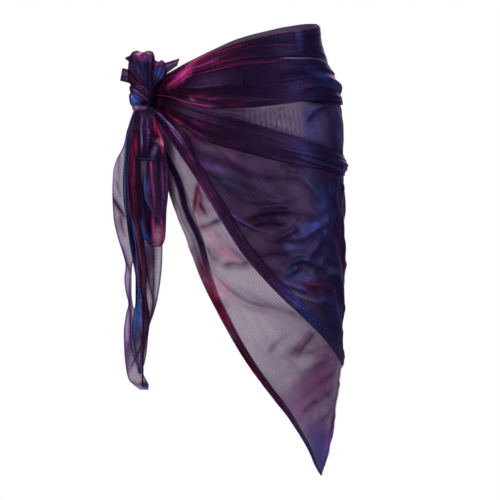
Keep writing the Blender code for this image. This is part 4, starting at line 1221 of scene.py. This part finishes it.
# The hanging ends. Each row has the left and right edges and the depth (y) at one height. turns are
# the points between the left (0) and right (1) edges where the cloth folds back over itself.
END_COLUMNS = ("z", "left", "right", "y")
ENDS = {
    "sheer_end": {
        "node": "sheer_tail",
        "rows": (
            (-62, -190, -176, -46), (-83, -199, -180, -42), (-97, -205, -184, -39),
            (-122, -211, -188, -36), (-132, -215, -190, -35), (-151, -225, -193, -34),
            (-172, -230, -198, -33), (-209, -231, -199, -33), (-249, -229, -196, -33),
            (-283, -222, -193, -34), (-311, -213, -190, -35), (-334, -208, -196, -36),
            (-355, -210, -197, -36), (-377, -208, -197, -36), (-400, -203, -195, -37),
            (-417, -207, -188, -37), (-452, -211, -179, -37), (-484, -210, -177, -38),
            (-518, -206, -177, -39), (-532, -202, -171, -40), (-541, -193, -167, -41),
            (-549, -182, -168, -41),
        ),
        "turns": (0.0, 1.0),
        "depth": 7.0,
        "layers": 1.05,
        "rim": "violet",
        "creases": (
            (((-233, -202), (-228, -213), (-219, -229), (-209, -244), (-198, -256)),
             2.0, 3.6, 3.0, "plum", 0.5),
            (((-224, -280), (-212, -304), (-206, -320), (-198, -341), (-188, -354)),
             2.0, 3.4, 3.0, "plum", 0.5),
            (((-199, -326), (-199, -390), (-197, -424), (-197, -471), (-188, -498), (-180, -520),
              (-174, -544)),
             1.6, 2.8, 3.0, "plum", 0.5),
            (((-164, -432), (-177, -471), (-190, -499), (-206, -530)), 1.6, 2.8, 2.4, "lilac", 0.4),
            (((-223, -126), (-229, -172), (-231, -220)), 1.5, 4.0, 0.4, "lilac", 1.1),
            (((-219, -284), (-211, -313), (-205, -336)), 1.5, 4.0, 0.6, "violet", 1.8),
            (((-208, -334), (-206, -376), (-201, -406)), 1.5, 4.0, 0.8, "violet", 1.4),
            (((-202, -400), (-207, -435), (-206, -474)), 1.5, 4.8, 0.8, "violet", 1.8),
            (((-206, -466), (-206, -500), (-200, -528)), 1.5, 5.0, 0.9, "violet", 0.25),
            (((-224, -176), (-218, -200), (-212, -220)), 1.4, 3.0, 0.9, "plum", 0.3),
            (((-214, -236), (-212, -262), (-205, -288)), 1.4, 4.0, 1.2, "wine", 0.2),
            (((-202, -530), (-186, -538), (-170, -534)), 1.4, 2.8, 1.6, "plum", 0.4),
            (((-214, -120), (-217, -160), (-214, -200)), 1.2, 5.0, 0.6, "rose", 0.12),
        ),
        "patches": (
            (-204, -484, 34, 8, 82, "violet", 0.16, 1.2),
            (-203, -446, 16, 6, 84, "violet", 0.6, 0.0),
            (-172, -540, 7, 6, 40, "navy", 0.8, 2.6),
            (-226, -166, 26, 5, 80, "lilac", 0.4, 0.1),
            (-226, -270, 20, 8, 70, "plum", 0.2, 0.35),
        ),
    },
    "blue_end": {
        "node": "blue_tail",
        "rows": (
            (-60, -192, -174, -52), (-80, -199, -180, -52), (-98, -204, -186, -52),
            (-122, -208, -191, -52), (-152, -210, -194, -53), (-188, -212, -197, -53),
            (-219, -211, -196, -53), (-244, -207, -195, -53), (-268, -204, -192, -53),
            (-297, -200, -187, -53), (-325, -195, -184, -53), (-358, -190, -181, -53),
            (-393, -190, -180, -53), (-410, -192, -177, -53), (-427, -195, -175, -53),
            (-448, -196, -175, -53), (-470, -194, -177, -53), (-500, -189, -179, -52),
            (-521, -185, -180, -51),
        ),
        "turns": (0.0, 1.0, 0.15),
        "depth": 3.0,
        "layers": 1.0,
        "rim": "blue",
        "creases": (
            (((-206, -80), (-208, -158), (-209, -202), (-205, -250)), 1.0, 1.8, 0.3, "sky", 0.9),
            (((-200, -80), (-203, -158), (-204, -202), (-201, -244)), 1.6, 3.4, 2.0, "blue", 0.6),
            (((-199, -226), (-194, -270), (-189, -306), (-185, -358)), 1.6, 4.0, 2.0, "blue", 1.4),
            (((-184, -340), (-185, -400), (-184, -452)), 1.6, 4.0, 2.0, "blue", 1.4),
            (((-205, -240), (-200, -290), (-192, -330), (-188, -386)), 1.4, 2.8, 2.4, "navy", 0.8),
            (((-190, -404), (-193, -440), (-190, -476), (-184, -508)), 1.4, 2.6, 2.6, "plum", 0.4),
        ),
        "patches": (
            (-187, -432, 32, 9, 88, "sky", 0.45, 0.5),
            (-187, -418, 24, 5, 84, "blue", 1.4, 0.4),
            (-186, -486, 30, 10, 84, "lilac", 0.04, -0.7),
        ),
    },
    "red_end": {
        "node": "red_tail",
        "rows": (
            (-60, -186, -166, -62), (-90, -190, -173, -62), (-112, -196, -180, -63),
            (-133, -200, -180, -63), (-159, -202, -180, -63), (-188, -202, -180, -63),
            (-228, -200, -178, -63), (-263, -193, -177, -63), (-297, -189, -173, -63),
            (-325, -185, -170, -63), (-358, -183, -170, -63), (-379, -181, -171, -63),
            (-401, -179, -168, -63), (-424, -178, -164, -63), (-445, -178, -166, -63),
            (-465, -179, -171, -63), (-496, -179, -175, -62), (-543, -179, -176, -61),
        ),
        "turns": (0.0, 1.0, 0.1, 0.9),
        "depth": 4.0,
        "layers": 1.0,
        "rim": "wine",
        "creases": (
            (((-190, -80), (-194, -150), (-194, -193), (-191, -237), (-187, -280)),
             1.6, 3.0, 1.0, "crimson", 1.0),
            (((-188, -256), (-182, -306), (-177, -341), (-175, -376)), 1.6, 3.2, 1.0, "crimson", 0.6),
            (((-191, -250), (-187, -289), (-183, -310), (-178, -345)), 0.8, 1.2, 0.2, "rose", 0.7),
            (((-192, -160), (-190, -200), (-186, -240), (-180, -284)), 1.4, 2.2, 1.4, "black", 0.3),
            (((-183, -240), (-179, -280), (-174, -320), (-172, -360)), 1.4, 2.2, 1.2, "plum", 0.5),
            (((-175, -370), (-172, -410), (-169, -440)), 1.4, 2.6, 1.0, "wine", 0.7),
            (((-196, -120), (-198, -170), (-196, -220)), 1.0, 1.6, 0.6, "magenta", 0.5),
        ),
        "patches": ((-190, -128, 18, 5, 80, "crimson", 0.6, 0.0),),
    },
    "long_end": {
        "node": "long_tail",
        "rows": (
            (-64, -174, -158, -70), (-99, -170, -146, -73), (-133, -169, -138, -74),
            (-220, -176, -137, -75), (-260, -184, -139, -75), (-297, -182, -142, -75),
            (-330, -176, -143, -75), (-387, -172, -150, -75), (-415, -171, -157, -75),
            (-439, -172, -165, -75), (-456, -175, -167, -74), (-486, -177, -170, -73),
            (-505, -178, -174, -72),
        ),
        "turns": (0.0, 1.0),
        "depth": 4.0,
        "layers": 0.95,
        "rim": "plum",
        "creases": (
            (((-157, -280), (-156, -351), (-156, -387), (-153, -400)), 1.6, 2.8, 3.0, "plum", 0.5),
            (((-172, -310), (-163, -363), (-155, -394), (-159, -417), (-166, -446)),
             1.6, 3.2, 3.4, "plum", 0.5),
            (((-174, -360), (-168, -400), (-165, -436)), 1.4, 2.8, 3.0, "plum", 0.4),
        ),
        "patches": (
            (-168, -322, 46, 11, 84, "plum", 0.4, 2.2),
            (-162, -428, 20, 5, 66, "violet", 0.3, 1.0),
            (-172, -470, 26, 3, 76, "plum", 0.3, 0.8),
        ),
    },
}
RIM = 2.6  # millimetres of an end's thin rolled edge


def make_end(name, node, rows, turns, depth, layers, rim, creases, patches):
    """A hanging end of the cloth, folded to and fro between its two edges."""
    left, right, middle_y = (curve_through(rows, END_COLUMNS, c) for c in END_COLUMNS[1:])
    across, z = grid(np.linspace(0, 1, 97), np.linspace(rows[-1][0], rows[0][0], 221))
    leg = np.clip((across * (len(turns) - 1)).astype(int), 0, len(turns) - 2)
    part = across * (len(turns) - 1) - leg
    ends = np.array(turns)
    eased = (1 - np.cos(math.pi * part)) / 2 if len(turns) > 2 else part
    share = ends[leg] + (ends[leg + 1] - ends[leg]) * (0.35 * part + 0.65 * eased)
    x = left(z) + (right(z) - left(z)) * share
    x = x + 0.7 * np.sin(z * 0.11 + 6 * share) * np.sin(math.pi * share)
    finish, lift = dressed(x, z, creases, patches)
    rolled = smooth_step(1.5 - np.minimum(x - left(z), right(z) - x) / RIM)
    finish.laps += 1.2 * rolled
    # A painted highlight in the rim tint along the rolled edges.
    finish.paint(rolled, rim, 0.5)
    soft = 1.3 * np.sin(share * 7 + z * 0.035) + 0.7 * np.sin(share * 13 - z * 0.06)
    y = middle_y(z) - depth * (across - 0.5) - lift + soft * 0.6
    points = np.stack([x, y, z], -1)
    add_cloth(name, node, "tail", points, finish, None, layers)


# The hanging loops, with the same columns as the ends.
LOOPS = {
    "hanging_fold": {
        "node": "hanging_loop",
        "rows": (
            (-58, -176, -160, -64), (-90, -182, -150, -84), (-125, -187, -138, -90),
            (-153, -189, -134, -91), (-166, -189, -132, -91), (-206, -187, -132, -91),
            (-240, -184, -135, -91), (-268, -179, -136, -91), (-284, -175, -137, -91),
            (-294, -168, -140, -91), (-301, -160, -146, -91),
        ),
        "depth": 8.0,
        "layers": 1.25,
        "creases": (
            (((-166, -120), (-162, -178), (-159, -206), (-156, -240)), 2.0, 2.8, 0.9, "magenta", 0.6),
            (((-170, -160), (-174, -189), (-173, -213), (-167, -230), (-159, -249), (-150, -260)),
             2.0, 2.6, 1.4, "blue", 0.6),
            (((-171, -214), (-160, -240), (-146, -258), (-136, -268)), 2.4, 3.6, 1.6, "plum", 0.5),
            (((-183, -140), (-178, -185), (-172, -220), (-165, -262), (-163, -300)),
             2.0, 3.6, 1.4, "black", 0.4),
            (((-150, -120), (-146, -160), (-143, -210), (-140, -262)), 1.8, 4.0, 1.0, "plum", 0.4),
            (((-180, -250), (-176, -274), (-168, -290)), 1.6, 3.4, 0.8, "blue", 0.7),
            (((-138, -150), (-135, -200), (-138, -262), (-144, -294)), 1.2, 2.2, 1.0, "wine", 0.8),
            (((-160, -234), (-159, -270), (-156, -302)), 1.6, 3.4, 0.8, "magenta", 0.8),
            (((-160, -232), (-164, -262), (-162, -300)), 1.4, 2.6, 2.2, "black", 0.2),
        ),
        "patches": (
            (-150, -282, 17, 7, 84, "rose", 0.5, -0.7),
            (-141, -276, 26, 2.5, 98, "magenta", 0.3, 0.6),
            (-141, -180, 60, 8, 88, "plum", 0.3, 0.9),
            (-167, -197, 12, 4, 80, "blue", 0.35, 0.0),
            (-172, -282, 16, 6, -60, "blue", 0.4, 0.3),
            (-141, -215, 40, 6, 88, "violet", 0.12, 0.6),
        ),
    },
    "short_fold": {
        "node": "short_loop",
        "rows": (
            (-58, -188, -166, -68), (-74, -191, -158, -86), (-100, -192, -146, -100),
            (-117, -191, -140, -101), (-134, -189, -139, -102), (-148, -186, -142, -102),
            (-153, -181, -147, -102),
        ),
        "depth": 5.0,
        "layers": 1.35,
        "creases": (
            (((-178, -70), (-179, -100), (-178, -146)), 1.6, 2.2, 0.8, "lilac", 0.4),
            (((-158, -74), (-156, -93), (-154, -112)), 2.0, 3.0, 0.6, "crimson", 0.9),
            (((-156, -84), (-149, -106), (-144, -127), (-143, -150)), 2.0, 4.0, 1.2, "crimson", 0.9),
            (((-188, -104), (-189, -127), (-188, -148)), 1.6, 3.0, 0.6, "crimson", 0.9),
            (((-170, -70), (-168, -104), (-170, -146)), 1.8, 3.4, 1.2, "violet", 0.3),
            (((-186, -148), (-167, -150), (-145, -152)), 0.8, 1.2, 0.6, "blue", 0.8),
            (((-162, -104), (-158, -124), (-152, -144)), 1.4, 2.6, 1.2, "black", 0.4),
        ),
        "patches": (
            (-145, -121, 8, 4.5, -40, "rose", 0.55, 0.0),
            (-156, -137, 9, 4, 70, "lilac", 0.4, 0.0),
            (-172, -112, 20, 8, 84, "plum", 0.3, 0.6),
        ),
    },
}


def make_loop(name, node, rows, depth, layers, creases, patches):
    """Cloth that hangs down, turns at the bottom and goes up again behind itself."""
    left, right, middle_y = (curve_through(rows, END_COLUMNS, c) for c in END_COLUMNS[1:])
    top, bottom = rows[0][0], rows[-1][0]
    share, turn = grid(np.linspace(0, 1, 91), np.linspace(1, -1, 201))
    z = bottom + (top - bottom) * np.sin(math.pi / 2 * np.abs(turn)) ** 1.4
    open_by = depth * (0.4 + 0.6 * np.cos(math.pi / 2 * np.abs(turn) ** 3))
    x = left(z) + (right(z) - left(z)) * share
    finish, lift = dressed(x, z, creases, patches)
    finish.laps += 0.9 * smooth_step(1.4 - np.minimum(share, 1 - share) / 0.05)
    closed = np.sin(math.pi * np.clip(share, 0.02, 0.98)) ** 0.35
    soft = 0.8 * np.sin(share * 12 + z * 0.03)
    y = middle_y(z) + (open_by / 2 * closed + lift * 0.8 - 0.6 + soft * 0.5) * both_ways(turn, 3.2)
    points = np.stack([x, y, z], -1)
    add_cloth(name, node, "tail", points, finish, None, layers)


for name, made in TURNS.items():
    make_turn(name, **made)
for name, bow in BOWS.items():
    make_bow(name, **bow)
for name, (node, corners) in CORNERS.items():
    make_corner(name, node, corners)
for name, end in ENDS.items():
    make_end(name, **end)
for name, loop in LOOPS.items():
    make_loop(name, **loop)

# The studio, in metres: the floor, four soft lights and the camera.
FLOOR_LEVEL = -0.95
FLOOR_REACH = 2.0
LIGHT_COLUMNS = ("name", "place", "size", "power")
LIGHTS = (
    ("key", (-1.6, -2.2, 1.5), 1.3, 34),
    ("fill", (1.9, -1.9, 0.5), 1.4, 26),
    ("top", (0.2, -0.4, 2.2), 1.2, 20),
    ("rim", (0.6, 2.3, 1.1), 1.6, 20),
)
LIGHT_TARGET = (0, 0, -0.3)
SURROUNDING_LIGHT = 0.40  # of the white that the camera sees
CAMERA_PLACE = (0.00875, -6.0, -0.306)
LENS = 246.9  # millimetres, on a sensor 36 wide


def make_floor():
    mesh = bpy.data.meshes.new("studio_floor")
    signs = ((-1, -1), (1, -1), (1, 1), (-1, 1))
    corners = [(x * FLOOR_REACH, y * FLOOR_REACH, FLOOR_LEVEL) for x, y in signs]
    mesh.from_pydata(corners, [], [(0, 1, 2, 3)])
    floor = bpy.data.objects.new("studio_floor", mesh)
    bpy.context.scene.collection.objects.link(floor)
    paint = bpy.data.materials.new("studio_floor")
    paint.use_nodes = True
    shader = paint.node_tree.nodes["Principled BSDF"]
    shader.inputs["Base Color"].default_value = (0.86, 0.86, 0.87, 1)
    shader.inputs["Roughness"].default_value = 0.7
    mesh.materials.append(paint)


def make_lights():
    for row in LIGHTS:
        light = dict(zip(LIGHT_COLUMNS, row))
        data = bpy.data.lights.new(light["name"], "AREA")
        data.shape = "SQUARE"
        data.size = light["size"]
        data.energy = light["power"]
        lamp = bpy.data.objects.new(light["name"], data)
        bpy.context.scene.collection.objects.link(lamp)
        lamp.location = light["place"]
        aim = Vector(LIGHT_TARGET) - lamp.location
        lamp.rotation_euler = aim.to_track_quat("-Z", "Y").to_euler()


def make_world():
    """A white studio: full white behind the object, and softer as a source of light."""
    world = bpy.data.worlds.new("studio")
    bpy.context.scene.world = world
    world.use_nodes = True
    tree = world.node_tree
    tree.nodes.clear()
    seen = new_node(tree, "ShaderNodeBackground", Strength=1.0, Color=(1, 1, 1, 1))
    lit = new_node(tree, "ShaderNodeBackground", Strength=SURROUNDING_LIGHT, Color=(0.92, 0.95, 1, 1))
    path = tree.nodes.new("ShaderNodeLightPath")
    mixed = tree.nodes.new("ShaderNodeMixShader")
    output = tree.nodes.new("ShaderNodeOutputWorld")
    tree.links.new(path.outputs["Is Camera Ray"], mixed.inputs["Fac"])
    tree.links.new(lit.outputs["Background"], mixed.inputs[1])
    tree.links.new(seen.outputs["Background"], mixed.inputs[2])
    tree.links.new(mixed.outputs["Shader"], output.inputs["Surface"])


def make_camera():
    data = bpy.data.cameras.new("camera")
    data.sensor_width = 36
    data.lens = LENS
    data.clip_end = 50
    camera = bpy.data.objects.new("camera", data)
    bpy.context.scene.collection.objects.link(camera)
    camera.location = CAMERA_PLACE
    camera.rotation_euler = (math.radians(90), 0, 0)
    bpy.context.scene.camera = camera


make_floor()
make_lights()
make_world()
make_camera()
scene = bpy.context.scene
scene.view_settings.view_transform = "Standard"
scene.cycles.transparent_max_bounces = 24
scene.cycles.max_bounces = 8
